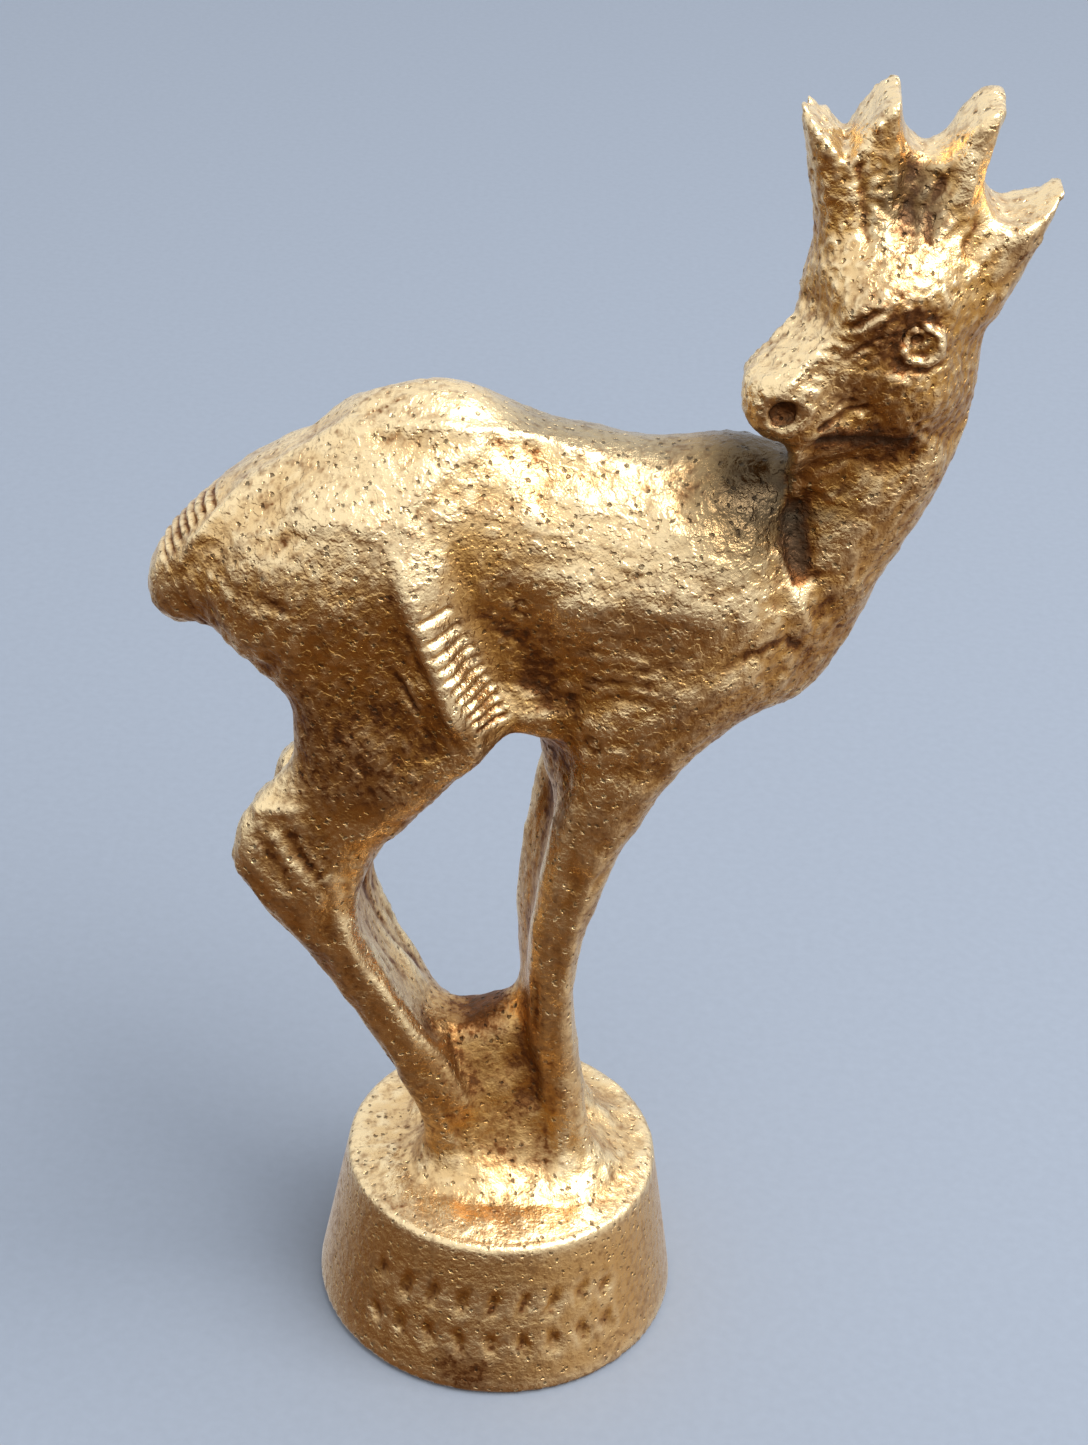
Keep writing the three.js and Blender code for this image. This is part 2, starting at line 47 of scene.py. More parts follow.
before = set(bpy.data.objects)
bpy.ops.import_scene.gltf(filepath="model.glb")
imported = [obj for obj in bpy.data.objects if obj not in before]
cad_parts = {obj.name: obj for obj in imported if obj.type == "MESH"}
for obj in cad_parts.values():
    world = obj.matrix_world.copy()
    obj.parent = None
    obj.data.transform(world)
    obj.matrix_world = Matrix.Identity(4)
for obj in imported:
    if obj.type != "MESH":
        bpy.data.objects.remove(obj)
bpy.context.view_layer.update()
NODE = "deer_and_base"
MM = 0.001
LOW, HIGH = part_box(NODE)

# The head's centre and axes, in millimetres: forward along the muzzle, left towards its left cheek, and up
HEAD_CENTRE = np.array([17.3, -0.9, 67.2])
HEAD_TURN = math.radians(26)
HEAD_NOD = math.radians(27)
FORWARD = np.array(
    [
        -math.cos(HEAD_TURN) * math.cos(HEAD_NOD),
        -math.sin(HEAD_TURN) * math.cos(HEAD_NOD),
        -math.sin(HEAD_NOD),
    ]
)
LEFT = np.array([math.sin(HEAD_TURN), -math.cos(HEAD_TURN), 0.0])
UP = np.cross(FORWARD, LEFT)

# Places on a cheek, as millimetres forward and up from the head's centre
EYE = (0.9, 0.1)
NOSTRIL = (8.15, -0.45)
JAW_LINE = [(7.6, -2.7), (6.4, -3.4), (5.1, -4.2), (3.8, -5.1), (2.5, -5.8)]

# Heights over the floor, in millimetres
BASE_TOP = 10.9
HEAD_FLOOR = 60  # the head's own forward and up mean nothing below this
CROWN_FLOOR = 70

# The flat planes that the carver left: a place in side view, which way the plane looks on the deer's
# right side, how far it reaches from that place and how much it takes off.
PLANES = [
    {"name": "haunch side", "at": (-10.6, 48.6), "looks": (-0.1, -0.98, -0.12), "reach": 7, "bite": 0.35},
    {"name": "haunch top", "at": (-8.4, 57), "looks": (-0.12, -0.62, 0.78), "reach": 4.6, "bite": 0.26},
    {"name": "rump side", "at": (-15.6, 53), "looks": (-0.42, -0.72, 0.55), "reach": 4.4, "bite": 0.22},
    {"name": "loin", "at": (-2.6, 57), "looks": (0.34, -0.7, 0.62), "reach": 4.2, "bite": 0.22},
    {"name": "flank", "at": (4, 56), "looks": (0.02, -0.66, 0.75), "reach": 5, "bite": 0.22},
    {"name": "shoulder", "at": (9.6, 54.6), "looks": (0.12, -0.86, 0.5), "reach": 4.6, "bite": 0.24},
    {"name": "shoulder point", "at": (13.4, 50.6), "looks": (0.5, -0.84, 0.2), "reach": 3.6, "bite": 0.26},
    {"name": "neck", "at": (16.4, 57.4), "looks": (0.05, -0.98, 0.15), "reach": 4.6, "bite": 0.24},
    {"name": "throat", "at": (19, 58.6), "looks": (0.75, -0.65, 0.1), "reach": 5, "bite": 0.26},
    {"name": "thigh back", "at": (-13.2, 44), "looks": (-0.72, -0.68, -0.1), "reach": 4, "bite": 0.24},
    {"name": "upper arm", "at": (6.6, 44), "looks": (0.1, -0.94, -0.3), "reach": 4, "bite": 0.24},
    {"name": "foreleg", "at": (3, 30), "looks": (0.2, -0.98, 0), "reach": 5.5, "bite": 0.22},
    {"name": "hind shank", "at": (-7.6, 25.6), "looks": (-0.5, -0.8, -0.3), "reach": 5, "bite": 0.22},
]

# Lines of the body that several steps use, drawn in side view as points of x and z in millimetres
THIGH_FRONT = [
    (-7, 54.6), (-6.5, 52.1), (-5.7, 49.9), (-5.1, 48.3), (-4.4, 46.3), (-3.8, 44.6), (-2.8, 43.1),
]
NECK_CREASE = [(13, 57.4), (13.2, 55.8), (13.5, 54.4), (14.1, 52.4)]
BREAST = {"at": (15.2, 48.4), "radius": 3.8, "depth": 0.6}

# Carving on each side of the body, in side view. A crest has a rise and the widths of its two slopes, left
# and right of the way it runs.
CRESTS = [
    {"name": "edge of the back",
     "path": [(-18.7, 50.3), (-17.8, 52.4), (-15.3, 55.3), (-11.8, 57.9), (-9.7, 59.4),
              (-5.1, 60), (-2, 59.6), (1, 58.7), (5.2, 57.9)],
     "rise": 0.32, "slopes": (0.5, 0.9)},
    {"name": "haunch top", "path": [(-2.4, 59.5), (-5.2, 57.9), (-6.4, 56.4), (-6.6, 54.9)],
     "rise": 0.2, "slopes": (0.8, 1.2)},
    {"name": "haunch brow",
     "path": [(-15.8, 52.2), (-14.8, 53.5), (-12.4, 54.7), (-9.8, 55.5), (-7.3, 55.3)],
     "rise": 0.12, "slopes": (1.6, 0.5)},
    {"name": "thigh front", "path": THIGH_FRONT,
     "rise": 0.45, "slopes": (2.9, 0.6), "bend": 0.9},
    {"name": "chisel slip", "path": [(-6.7, 47.9), (-5.9, 46.7), (-5.3, 45.2)],
     "rise": 0.16, "slopes": (0.25, 0.3)},
    {"name": "shoulder", "path": [(12.1, 55), (13, 53), (14, 51.3), (14.8, 49.8)],
     "rise": 0.32, "slopes": (0.6, 0.9)},
    {"name": "upper arm", "path": [(13.6, 48.4), (11.2, 47.8), (8.6, 46.4), (5.4, 43.4)],
     "rise": 0.16, "slopes": (1.2, 1.6)},
    {"name": "hind shank",
     "path": [(-10.2, 31.7), (-9.4, 28.7), (-8.5, 26.5), (-7.4, 25.1), (-5.7, 21.9), (-4, 19.7),
              (-1.5, 14.6)],
     "rise": 0.45, "slopes": (1.2, 0.9)},
    {"name": "hock, outer fold", "path": [(-13.6, 36.2), (-12.4, 34.2), (-11, 32.4)],
     "rise": 0.3, "slopes": (0.5, 0.5)},
    {"name": "hock, inner fold", "path": [(-12, 36), (-11.1, 34.4), (-10, 32.9)],
     "rise": 0.25, "slopes": (0.4, 0.5)},
    {"name": "top of the hock", "path": [(-14.8, 36.9), (-13.2, 37.3), (-11.9, 37.8)],
     "rise": 0.25, "slopes": (0.5, 0.8)},
    {"name": "foreleg", "path": [(4.9, 37), (3.4, 31), (3, 26), (3.1, 21), (3.4, 15)],
     "rise": 0.25, "slopes": (0.8, 0.6)},
    {"name": "chin strand", "path": [(12.7, 61.4), (12.9, 60), (13, 58.8), (13.1, 57.8), (13.2, 56.8)],
     "rise": 0.5, "slopes": (0.45, 0.5)},
    {"name": "chin", "path": [(12.5, 62), (12.9, 60.6), (13, 58.8)], "rise": 0.35, "slopes": (0.9, 0.9)},
]
GROOVES = [
    {"name": "flank", "path": [(-3.4, 51.4), (-2.3, 50.5), (-0.7, 48.7), (0.1, 46.7), (1, 45), (1.6, 43.5)],
     "width": 1.5, "depth": 0.16},
    {"name": "under the haunch", "path": [(-16.3, 51.7), (-15.4, 50.9), (-13.7, 50.8), (-12.1, 50.5)],
     "width": 0.45, "depth": 0.1},
    {"name": "neck crease", "path": NECK_CREASE, "width": 1, "depth": 0.22},
    {"name": "over the arm", "path": [(14.7, 48.3), (13.4, 49.7), (11.4, 49.1), (9.6, 48)],
     "width": 0.5, "depth": 0.16},
    {"name": "back of the arm", "path": [(2.4, 46), (2.6, 44.2), (4.1, 41.8)], "width": 0.6, "depth": 0.08},
    {"name": "between the forelegs", "path": [(1.5, 26.3), (1.5, 21.6)], "width": 0.35, "depth": 0.16},
    {"name": "before the hind foot", "path": [(-4.6, 18), (-2.6, 14.4), (-1.6, 12.4)],
     "width": 0.5, "depth": 0.12},
    {"name": "hock", "path": [(-12.6, 36.4), (-11.6, 34.6), (-10.4, 33.2)], "width": 0.5, "depth": 0.14},
    {"name": "hock back", "path": [(-14.4, 36), (-13.4, 34), (-12, 32)], "width": 0.5, "depth": 0.14},
    {"name": "chisel slip", "path": [(-7, 47.5), (-6.3, 46.4), (-5.6, 45)], "width": 0.3, "depth": 0.14},
]
RIB_CAGE = [(0.6, 52.2), (3, 51.6), (6, 51.4), (9, 51.2), (12, 51.6)]
RIB_CAGE_RISE = 0.4
RIB_CAGE_SLOPE = 3
RIB_COUNT = 6
RIB_FIRST = [(2.6, 50.6), (7, 51)]
RIB_PITCH = 0.95
RIB_WIDTH = 0.42
RIB_DEPTH = 0.13
PUNCHED_RINGS = [(3.6, 42.9), (-11, 33.7), (-12.3, 33.5), (-1.6, 52.4), (-0.4, 51)]
RING_RADIUS = 0.42
RING_DEPTH = 0.16

# Flutes that fan out from the front edge of the thigh, each from the first path to the second
FLUTE_FEET = [(-6, 50.7), (-5, 48.5), (-4.1, 46.5), (-3.3, 44.8), (-2.6, 43.9)]
FLUTE_TIPS = [(-4, 51.4), (-2.8, 48.8), (-2, 46.5), (-1.3, 45.1), (-0.8, 44.2)]
FLUTE_COUNT = 11
FLUTE_WIDTH = 0.32
FLUTE_DEPTH = 0.22

# Strokes of the chisel: where they are, how far they reach, the angle that they rise at and their size
STROKES = [
    {"name": "haunch", "at": (-11, 49), "reach": 5.5, "angle": -56, "wide": 0.36, "long": 0.8, "deep": 0.08},
    {"name": "thigh", "at": (-10, 42), "reach": 5, "angle": -62, "wide": 0.36, "long": 1.5, "deep": 0.06},
    {"name": "rump", "at": (-13, 55), "reach": 5.5, "angle": 28, "wide": 0.45, "long": 0.8, "deep": 0.025},
    {"name": "loin", "at": (-3, 56), "reach": 5, "angle": -50, "wide": 0.5, "long": 0.9, "deep": 0.035},
    {"name": "flank", "at": (3, 49), "reach": 6, "angle": -6, "wide": 0.4, "long": 1, "deep": 0.07},
    {"name": "shoulder", "at": (9.5, 52), "reach": 5, "angle": -38, "wide": 0.45, "long": 0.9, "deep": 0.06},
    {"name": "neck", "at": (17, 58), "reach": 6, "angle": 65, "wide": 0.5, "long": 0.9, "deep": 0.06},
    {"name": "arm", "at": (5, 41), "reach": 4.5, "angle": 48, "wide": 0.42, "long": 1, "deep": 0.045},
    {"name": "foreleg", "at": (3, 28), "reach": 7, "angle": 80, "wide": 0.45, "long": 1.4, "deep": 0.03},
    {"name": "hock", "at": (-12.6, 34), "reach": 3.8, "angle": -54, "wide": 0.42, "long": 1.6, "deep": 0.07},
    {"name": "shank", "at": (-7, 24), "reach": 6, "angle": -60, "wide": 0.45, "long": 1.4, "deep": 0.03},
    {"name": "web", "at": (0, 16), "reach": 5, "angle": 15, "wide": 0.6, "long": 0.8, "deep": 0.025},
]

# Tail hatch: short cuts over the edge of the rump
HATCH_START = (-19.5, 51.2)
HATCH_END = (-16.8, 54.4)
HATCH_COUNT = 7
HATCH_WIDTH = 0.26
HATCH_DEPTH = 0.26

# Carving on both cheeks, in the head's forward and up
HEAD_BOWLS = [
    {"name": "socket", "at": (1.6, 1.2), "radius": 2.7, "depth": 0.45},
    {"name": "eyeball", "at": EYE, "radius": 0.75, "depth": -0.35},
    {"name": "pupil", "at": (EYE[0] + 0.15, EYE[1] + 0.2), "radius": 0.36, "depth": 0.3},
    {"name": "nostril", "at": NOSTRIL, "radius": 1.05, "depth": 0.45},
]
HEAD_CRESTS = [
    {"name": "brow", "path": [(3.5, 2.1), (2.9, 2.4), (2.4, 2.6), (2, 2.8)],
     "rise": 0.18, "slopes": (0.2, 0.3)},
    {"name": "bridge", "path": [(8.3, 0.45), (7.3, 0.9), (6.2, 1.15), (5.3, 1.5), (4.4, 2)],
     "rise": 0.3, "slopes": (0.5, 0.35)},
    {"name": "upper lip", "path": [(7.1, -1.7), (5.9, -1.6), (5, -1.65), (4.2, -1.65)],
     "rise": 0.12, "slopes": (0.5, 0.4), "bend": 1},
    {"name": "jaw", "path": [(8, -2), (6.5, -2.7), (5.2, -3.5), (3.8, -4.4), (2.4, -5.2)],
     "rise": 0.2, "slopes": (1, 0.45), "bend": 1},
]
HEAD_GROOVES = [
    {"name": "over the eye", "path": [(2.7, 2.4), (1.9, 2.25), (1.1, 1.9), (0.2, 1.2), (-0.5, 0.3)],
     "width": 0.6, "depth": 0.12},
    {"name": "under the eye", "path": [(2.7, 0.3), (2.3, -0.6), (1.3, -1.15), (0.1, -1.3)],
     "width": 0.5, "depth": 0.1},
    {"name": "brow", "path": [(3.8, 2.3), (3.2, 2.7), (2.8, 2.9), (2.2, 3.05)],
     "width": 0.26, "depth": 0.2},
    {"name": "tear duct", "path": [(4.6, 0.8), (3.8, 1.2), (3.2, 1.4), (2.5, 1.5)],
     "width": 0.3, "depth": 0.16},
    {"name": "lips", "path": [(7.1, -2.15), (5.9, -2.05), (5.2, -2.1), (4.6, -2.2), (3.9, -2.05)],
     "width": 0.4, "depth": 0.13},
    {"name": "under the jaw", "path": JAW_LINE, "width": 0.8, "depth": 0.5},
]
LID_RADIUS = 0.9
LID_WIDTH = 0.35
LID_RISE = 0.22
LID_GAP = 1.15  # which way the lid opens, in radians up from forward

# Valleys between ears and antlers, and the edge of the ear, in side view
CROWN_CRESTS = [
    {"name": "edge of the ear", "path": [(22.6, 72), (21.8, 70), (21.4, 68.6)],
     "rise": 0.12, "slopes": (0.8, 0.5)},
]
CROWN_GROOVES = [
    {"name": "middle", "path": [(17.2, 75.4), (17, 73), (16.7, 71)], "width": 1, "depth": 0.2},
    {"name": "behind the middle", "path": [(18.5, 74.4), (18.1, 72.6), (17.9, 71.2)],
     "width": 0.5, "depth": 0.12},
    {"name": "front ear", "path": [(14.3, 75.2), (14.8, 73), (15.1, 71)], "width": 0.4, "depth": 0.15},
    {"name": "rear ear", "path": [(20.3, 72.4), (20.1, 71.2), (20.4, 70.2)], "width": 0.4, "depth": 0.1},
]

# Short strokes on top of the base, left of the feet: from one bearing to another, in degrees round the base
STAMP_COUNT = 6
STAMP_RADIUS = 7.6
STAMP_HALF_LENGTH = 0.7
STAMP_WIDTH = 0.2
STAMP_DEPTH = 0.09
STAMP_FROM = 158
STAMP_TO = 208

# The front of the base's top slopes down to its rim, from a radius outward
RIM_WORN_FROM = 7
RIM_WORN_WIDTH = 2.4
RIM_WORN_BY = 0.55

# Round patches in side view, the eye's in the head's forward and up: a place, the radius that a patch has
# faded out at and the radius that it is full within.
# Where it isn't round, "scale" multiplies the distances along x and z before they are measured.
PATCHES = {
    # The flank and hip patches carry a painted highlight
    "flank": {"at": (5.5, 52.5), "fades": 6.5, "full": 2.5, "scale": (0.75, 1)},
    "hip": {"at": (-8.5, 55.5), "fades": 4.5, "full": 2},
    # The thigh patch is painted shade
    "thigh": {"at": (-9, 42), "fades": 5.5, "full": 2},
    "web": {"at": (-0.8, 18), "fades": 6.4, "full": 2.4, "scale": (1, 0.8)},
    "top of the web": {"at": (-2, 22.2), "fades": 2.6, "full": 1},
    "foot of the base": {"at": (-1.7, 1.7), "fades": 2.6, "full": 0.8, "scale": (1, 1.4)},
    # The withers patch is the head's painted shadow on the withers
    "withers": {"at": (11.6, 58), "fades": 6.6, "full": 1.4, "scale": (1, 1.1)},
    # The crown valley patch is painted shade between the antlers
    "crown valley": {"at": (17, 72.8), "fades": 3.4, "full": 1.2, "scale": (1.2, 1)},
    "ledge behind the chin": {"at": (13.2, 55.5), "fades": 4, "full": 2},
    "ledge of the web": {"at": (0, 20), "fades": 3.4, "full": 1.6},
    # The eye patch is painted shade in the eye socket
    "eye": {"at": (1.4, 0.2), "fades": 2.8, "full": 1},
}


# Settings


def linear(hex_colour):
    """A colour's linear values from its sRGB hex digits."""
    shares = [int(hex_colour[i : i + 2], 16) / 255 for i in (0, 2, 4)]
    return tuple(s / 12.92 if s <= 0.04045 else ((s + 0.055) / 1.055) ** 2.4 for s in shares)


def colour_property(name, description, hex_colour):
    return bpy.props.FloatVectorProperty(
        name=name,
        description=description,
        subtype="COLOR",
        default=linear(hex_colour),
        min=0,
        max=1,
    )


class CastingSettings(bpy.types.PropertyGroup):
    """Sizes and colours of the casting."""

    cell: bpy.props.FloatProperty(
        name="Cell",
        description="Edge of the fine mesh that carries the carving",
        default=0.315 * MM,
        subtype="DISTANCE",
        unit="LENGTH",
        precision=5,
    )
    carving: bpy.props.FloatProperty(
        name="Carving",
        description="Depth of the carving as a share of the real one",
        default=1.0,
        min=0.0,
        max=1.5,
        subtype="FACTOR",
    )
    pit: bpy.props.FloatProperty(
        name="Pit",
        description="Width of the sand pits in the skin",
        default=0.22 * MM,
        subtype="DISTANCE",
        unit="LENGTH",
        precision=5,
    )
    brass: colour_property("Brass", "The skin where nothing has rubbed or settled on it", "bd8c47")
    # The polished colour, also painted as highlights on what faces up and on listed patches
    rubbed_and_lit: colour_property("Rubbed and lit brass", "The high spots that hands have polished", "e4c796")
    # The oxide colour also paints shade in broad hollows, on undersides and in listed zones
    patina_and_shade_tone: colour_property("Patina and shade", "The brown oxide of the hollows", "744621")
    # The darkest tone: old polish and dust in the sand pits and deep creases, and painted shade where the
    # darkening runs deepest, as under the jaw
    dirt_and_deep_shade: colour_property("Dirt and deep shade", "Old polish and dust in the pits and creases", "3b3024")
    # Painted shade colour: the head's painted shadow on the withers, and painted shade on the top of the
    # back and between the antlers
    painted_shade_colour: colour_property("Painted shade", "The grey bloom on the withers, which no hand reaches", "453b2d")


class StageSettings(bpy.types.PropertyGroup):
    """The sheet of paper, the lights and the camera."""

    sheet: bpy.props.FloatProperty(
        name="Sheet",
        description="Edge of the square sheet of paper",
        default=3.0,
        subtype="DISTANCE",
        unit="LENGTH",
    )
    paper: colour_property("Paper", "The matt blue-grey sheet", "71777f")
    window_power: bpy.props.FloatProperty(
        name="Window",
        description="Power of the big soft light high on the right",
        default=5.2,
        subtype="POWER",
        unit="POWER",
    )
    room_low: colour_property("Room in front", "What it mirrors low in front, dim and warm", "86684f")
    room_right: colour_property("Room on the right", "What it mirrors low on the right, pale", "f4f0f2")
    room_high: colour_property("Room above", "The pale ceiling and upper walls", "e6edf8")
    room_back: colour_property("Room behind", "The blue-grey wall behind the deer", "dbe3f0")


# The skin of the casting, while it is carved


class Skin:
    """The piece's vertices, in millimetres, as arrays that can be smoothed and carved."""

    def __init__(self, mesh):
        self.mesh = mesh
        self.count = len(mesh.vertices)
        places = np.empty(self.count * 3)
        mesh.vertices.foreach_get("co", places)
        self.points = places.reshape(-1, 3) / MM
        ends = np.empty(len(mesh.edges) * 2, int)
        mesh.edges.foreach_get("vertices", ends)
        self.ends = ends.reshape(-1, 2).T
        self.degree = np.bincount(self.ends.ravel(), minlength=self.count)

    def around(self, values):
        """Each vertex's mean of the values at the far ends of its edges."""
        a, b = self.ends
        total = np.bincount(a, values[b], self.count) + np.bincount(b, values[a], self.count)
        return total / self.degree

    def around_points(self, points):
        return np.stack([self.around(points[:, axis]) for axis in range(3)], 1)

    def smooth(self, rounds, share):
        """Evens the skin out without shrinking it: each round eases the vertices in, then out again."""
        for _ in range(rounds):
            for push in (0.5, -0.52):
                step = self.around_points(self.points) - self.points
                self.points += step * (push * share)[:, None]

    def store(self):
        self.mesh.vertices.foreach_set("co", (self.points * MM).ravel())
        self.mesh.update()

    def normals(self):
        self.store()
        vectors = np.empty(self.count * 3)
        self.mesh.vertex_normals.foreach_get("vector", vectors)
        return vectors.reshape(-1, 3)

    def raise_by(self, height):
        """Moves every vertex out along its normal by a height in millimetres."""
        self.points += self.normals() * height[:, None]

    def keep(self, name, values):
        """Stores one number for each vertex, which the material reads by name."""
        layer = self.mesh.attributes.new(name, "FLOAT", "POINT")
        layer.data.foreach_set("value", values.astype(np.float32))


HOLLOW = 1.7  # the power of a crest's hollow slope


def ramp(values, low, high):
    """0 at low, 1 at high, and a smooth way between them."""
    share = np.clip((values - low) / (high - low), 0, 1)
    return share * share * (3 - 2 * share)


def beside(u, v, path):
    """How far points of a plane lie to the left of a path, and the share of it that they have passed."""
    corners = np.array(path, float)
    steps = np.diff(corners, axis=0)
    lengths = np.hypot(*steps.T)
    nearest = np.full(len(u), 1e9)
    side = np.ones(len(u))
    passed = np.zeros(len(u))
    for start, step, length, run in zip(corners, steps, lengths, np.cumsum(lengths) - lengths):
        du, dv = step / length
        along = np.clip((u - start[0]) * du + (v - start[1]) * dv, 0, length)
        off_u = u - start[0] - du * along
        off_v = v - start[1] - dv * along
        distance = np.hypot(off_u, off_v)
        closer = distance < nearest
        nearest = np.where(closer, distance, nearest)
        side = np.where(closer, np.where(du * off_v > dv * off_u, 1, -1), side)
        passed = np.where(closer, run + along, passed)
    return nearest * side, passed / lengths.sum()


def place_on(path, share):
    """The point a share of the way along a path."""
    corners = np.array(path, float)
    lengths = np.hypot(*np.diff(corners, axis=0).T)
    runs = np.concatenate([[0], np.cumsum(lengths)]) / lengths.sum()
    return [np.interp(share, runs, corners[:, axis]) for axis in range(2)]


def fade(share, ends=0.14):
    """1 along a stroke and 0 at its two ends."""
    return ramp(np.minimum(share, 1 - share), 0, ends)


def groove(u, v, path, width, depth):
    """A round-bottomed cut along a path."""
    off, share = beside(u, v, path)
    return -depth * np.clip(1 - (off / width) ** 2, 0, 1) ** 2 * fade(share)


def crest(u, v, path, rise, slopes, bend=HOLLOW):
    """A ridge along a path; its left slope is hollow with a bend over 1 and rounded with a bend under 1."""
    off, share = beside(u, v, path)
    left = np.clip(1 - off / slopes[0], 0, 1) ** bend
    right = np.clip(1 + off / slopes[1], 0, 1) ** HOLLOW
    return rise * np.where(off > 0, left, right) * fade(share)


def ring(u, v, centre, radius, depth, width=0.2):
    """A ring that is pressed in by a hollow punch."""
    off = np.abs(np.hypot(u - centre[0], v - centre[1]) - radius)
    return -depth * np.clip(1 - off / width, 0, 1)


def bowl(u, v, centre, radius, depth):
    """A round hollow, or a round swelling where the depth is under 0."""
    return -depth * np.clip(1 - ((u - centre[0]) ** 2 + (v - centre[1]) ** 2) / radius**2, 0, 1) ** 1.5


def drawn(u, v, crests, grooves):
    """The height that a list of crests and a list of grooves give together."""
    height = np.zeros(len(u))
    for line in crests:
        height += crest(u, v, line["path"], line["rise"], line["slopes"], line.get("bend", HOLLOW))
    for line in grooves:
        height += groove(u, v, line["path"], line["width"], line["depth"])
    return height


def patch(u, v, name):
    """1 in the middle of a patch and 0 outside it."""
    spot = PATCHES[name]
    scale = spot.get("scale", (1, 1))
    away = np.hypot((u - spot["at"][0]) * scale[0], (v - spot["at"][1]) * scale[1])
    return ramp(away, spot["fades"], spot["full"])


def lumps(points, size, seed):
    """Gentle noise from -1 to 1 with lumps of a size in millimetres."""
    shift = Vector((seed * 17.3, seed * 5.1, seed * 9.7))
    return np.array([noise.noise(Vector(p) + shift) for p in points / size]) * 1.6


# Pieces of the carving, each a height over the skin in millimetres


def facing(normals, side):
    """1 where the skin faces a side of the deer (-1 its right, 1 its left), 0 where it faces away."""
    return ramp(normals[:, 1] * side, 0.05, 0.4)


def shave(skin, plane, side):
    """Cuts a flat plane into the skin and leaves a crisp edge round it."""
    looks = np.array(plane["looks"]) * (1, -side, 1)
    looks /= np.linalg.norm(looks)
    x, y, z = skin.points.T
    away = np.hypot(x - plane["at"][0], z - plane["at"][1])
    near = (away < plane["reach"] * 1.1) & (y * side > 0)
    heights = skin.points @ looks
    top = heights[near & (away < 0.5 * plane["reach"])].max() - plane["bite"]
    over = np.where(near, np.clip(heights - top, 0, plane["bite"] * 1.3), 0)
    share = ramp(away, plane["reach"] * 1.1, plane["reach"] * 0.6)
    skin.points -= looks * (over * share * 0.92)[:, None]


def body_carving(skin):
    """The crests and creases of both flanks, cut as the mould's two halves show them."""
    x, z = skin.points[:, 0], skin.points[:, 2]
    worn = 0.55 + 0.45 * lumps(skin.points, 1.3, 2)
    height = drawn(x, z, CRESTS, GROOVES)
    cage = crest(x, z, RIB_CAGE, RIB_CAGE_RISE, (RIB_CAGE_SLOPE, RIB_CAGE_SLOPE), 1)
    height += cage * (0.4 + 0.6 * worn)
    for i in range(RIB_COUNT):
        rib = [(u, v - RIB_PITCH * i) for u, v in RIB_FIRST]
        height += groove(x, z, rib, RIB_WIDTH, RIB_DEPTH) * worn
    for centre in PUNCHED_RINGS:
        height += ring(x, z, centre, RING_RADIUS, RING_DEPTH)
    for i in range(FLUTE_COUNT):
        share = (i / (FLUTE_COUNT - 1)) ** 0.8
        flute = [place_on(FLUTE_FEET, share), place_on(FLUTE_TIPS, share)]
        height += groove(x, z, flute, FLUTE_WIDTH * (1 - 0.25 * share), FLUTE_DEPTH)
    return height


def stroke_carving(skin):
    """The flecked, furrowed skin that the chisel left, each part of the body in its own direction."""
    x, y, z = skin.points.T
    height = np.zeros(skin.count)
    weights = []
    for stroke in STROKES:
        away = np.hypot(x - stroke["at"][0], z - stroke["at"][1])
        weights.append(np.exp(-((away / stroke["reach"]) ** 2)) + 1e-6)
    total = sum(weights)
    for seed, (stroke, weight) in enumerate(zip(STROKES, weights)):
        share = weight / total
        here = share > 0.03
        angle = math.radians(stroke["angle"])
        along = x[here] * math.cos(angle) + z[here] * math.sin(angle)
        across = z[here] * math.cos(angle) - x[here] * math.sin(angle)
        places = np.stack([along / stroke["long"], across / stroke["wide"], y[here] / stroke["wide"]], 1)
        rough = lumps(places, 1, seed + 10)
        height[here] += share[here] * stroke["deep"] * (rough + np.maximum(rough - 0.2, 0))
    return height


def hatch_carving(skin):
    """The short cuts across the edge of the rump over the tail."""
    x, y, z = skin.points.T
    start, end = np.array(HATCH_START), np.array(HATCH_END)
    length = np.hypot(*(end - start))
    along = ((x - start[0]) * (end - start)[0] + (z - start[1]) * (end - start)[1]) / length
    off, _ = beside(x, z, [HATCH_START, HATCH_END])
    pitch = length / (HATCH_COUNT - 1)
    nearest = np.abs(along - pitch * np.round(along / pitch))
    here = (along > -pitch / 2) & (along < length + pitch / 2)
    edge = ramp(np.abs(off), 1.2, 0.8) * ramp(np.abs(y + 0.1), 1.9, 1.3)
    return -HATCH_DEPTH * np.clip(1 - nearest / HATCH_WIDTH, 0, 1) * edge * here


def head_places(skin):
    """How far each vertex lies forward, left and up from the head's centre, in millimetres."""
    away = skin.points - HEAD_CENTRE
    return away @ FORWARD, away @ LEFT, away @ UP


def head_carving(skin):
    """Socket, eye, tear duct, nostril, bridge, lips and jaw, the same on both cheeks."""
    f, l, u = head_places(skin)
    height = drawn(f, u, HEAD_CRESTS, HEAD_GROOVES)
    for hollow in HEAD_BOWLS:
        height += bowl(f, u, hollow["at"], hollow["radius"], hollow["depth"])
    from_eye = np.hypot(f - EYE[0], u - EYE[1])
    bearing = np.arctan2(u - EYE[1], f - EYE[0])
    gap = ramp(np.abs(bearing - LID_GAP), 0.95, 0.5)
    lid = np.clip(1 - (np.abs(from_eye - LID_RADIUS) / LID_WIDTH) ** 2, 0, 1)
    height += (LID_RISE - 0.5 * gap) * lid
    return height * ramp(np.abs(l), 0.5, 1.3)


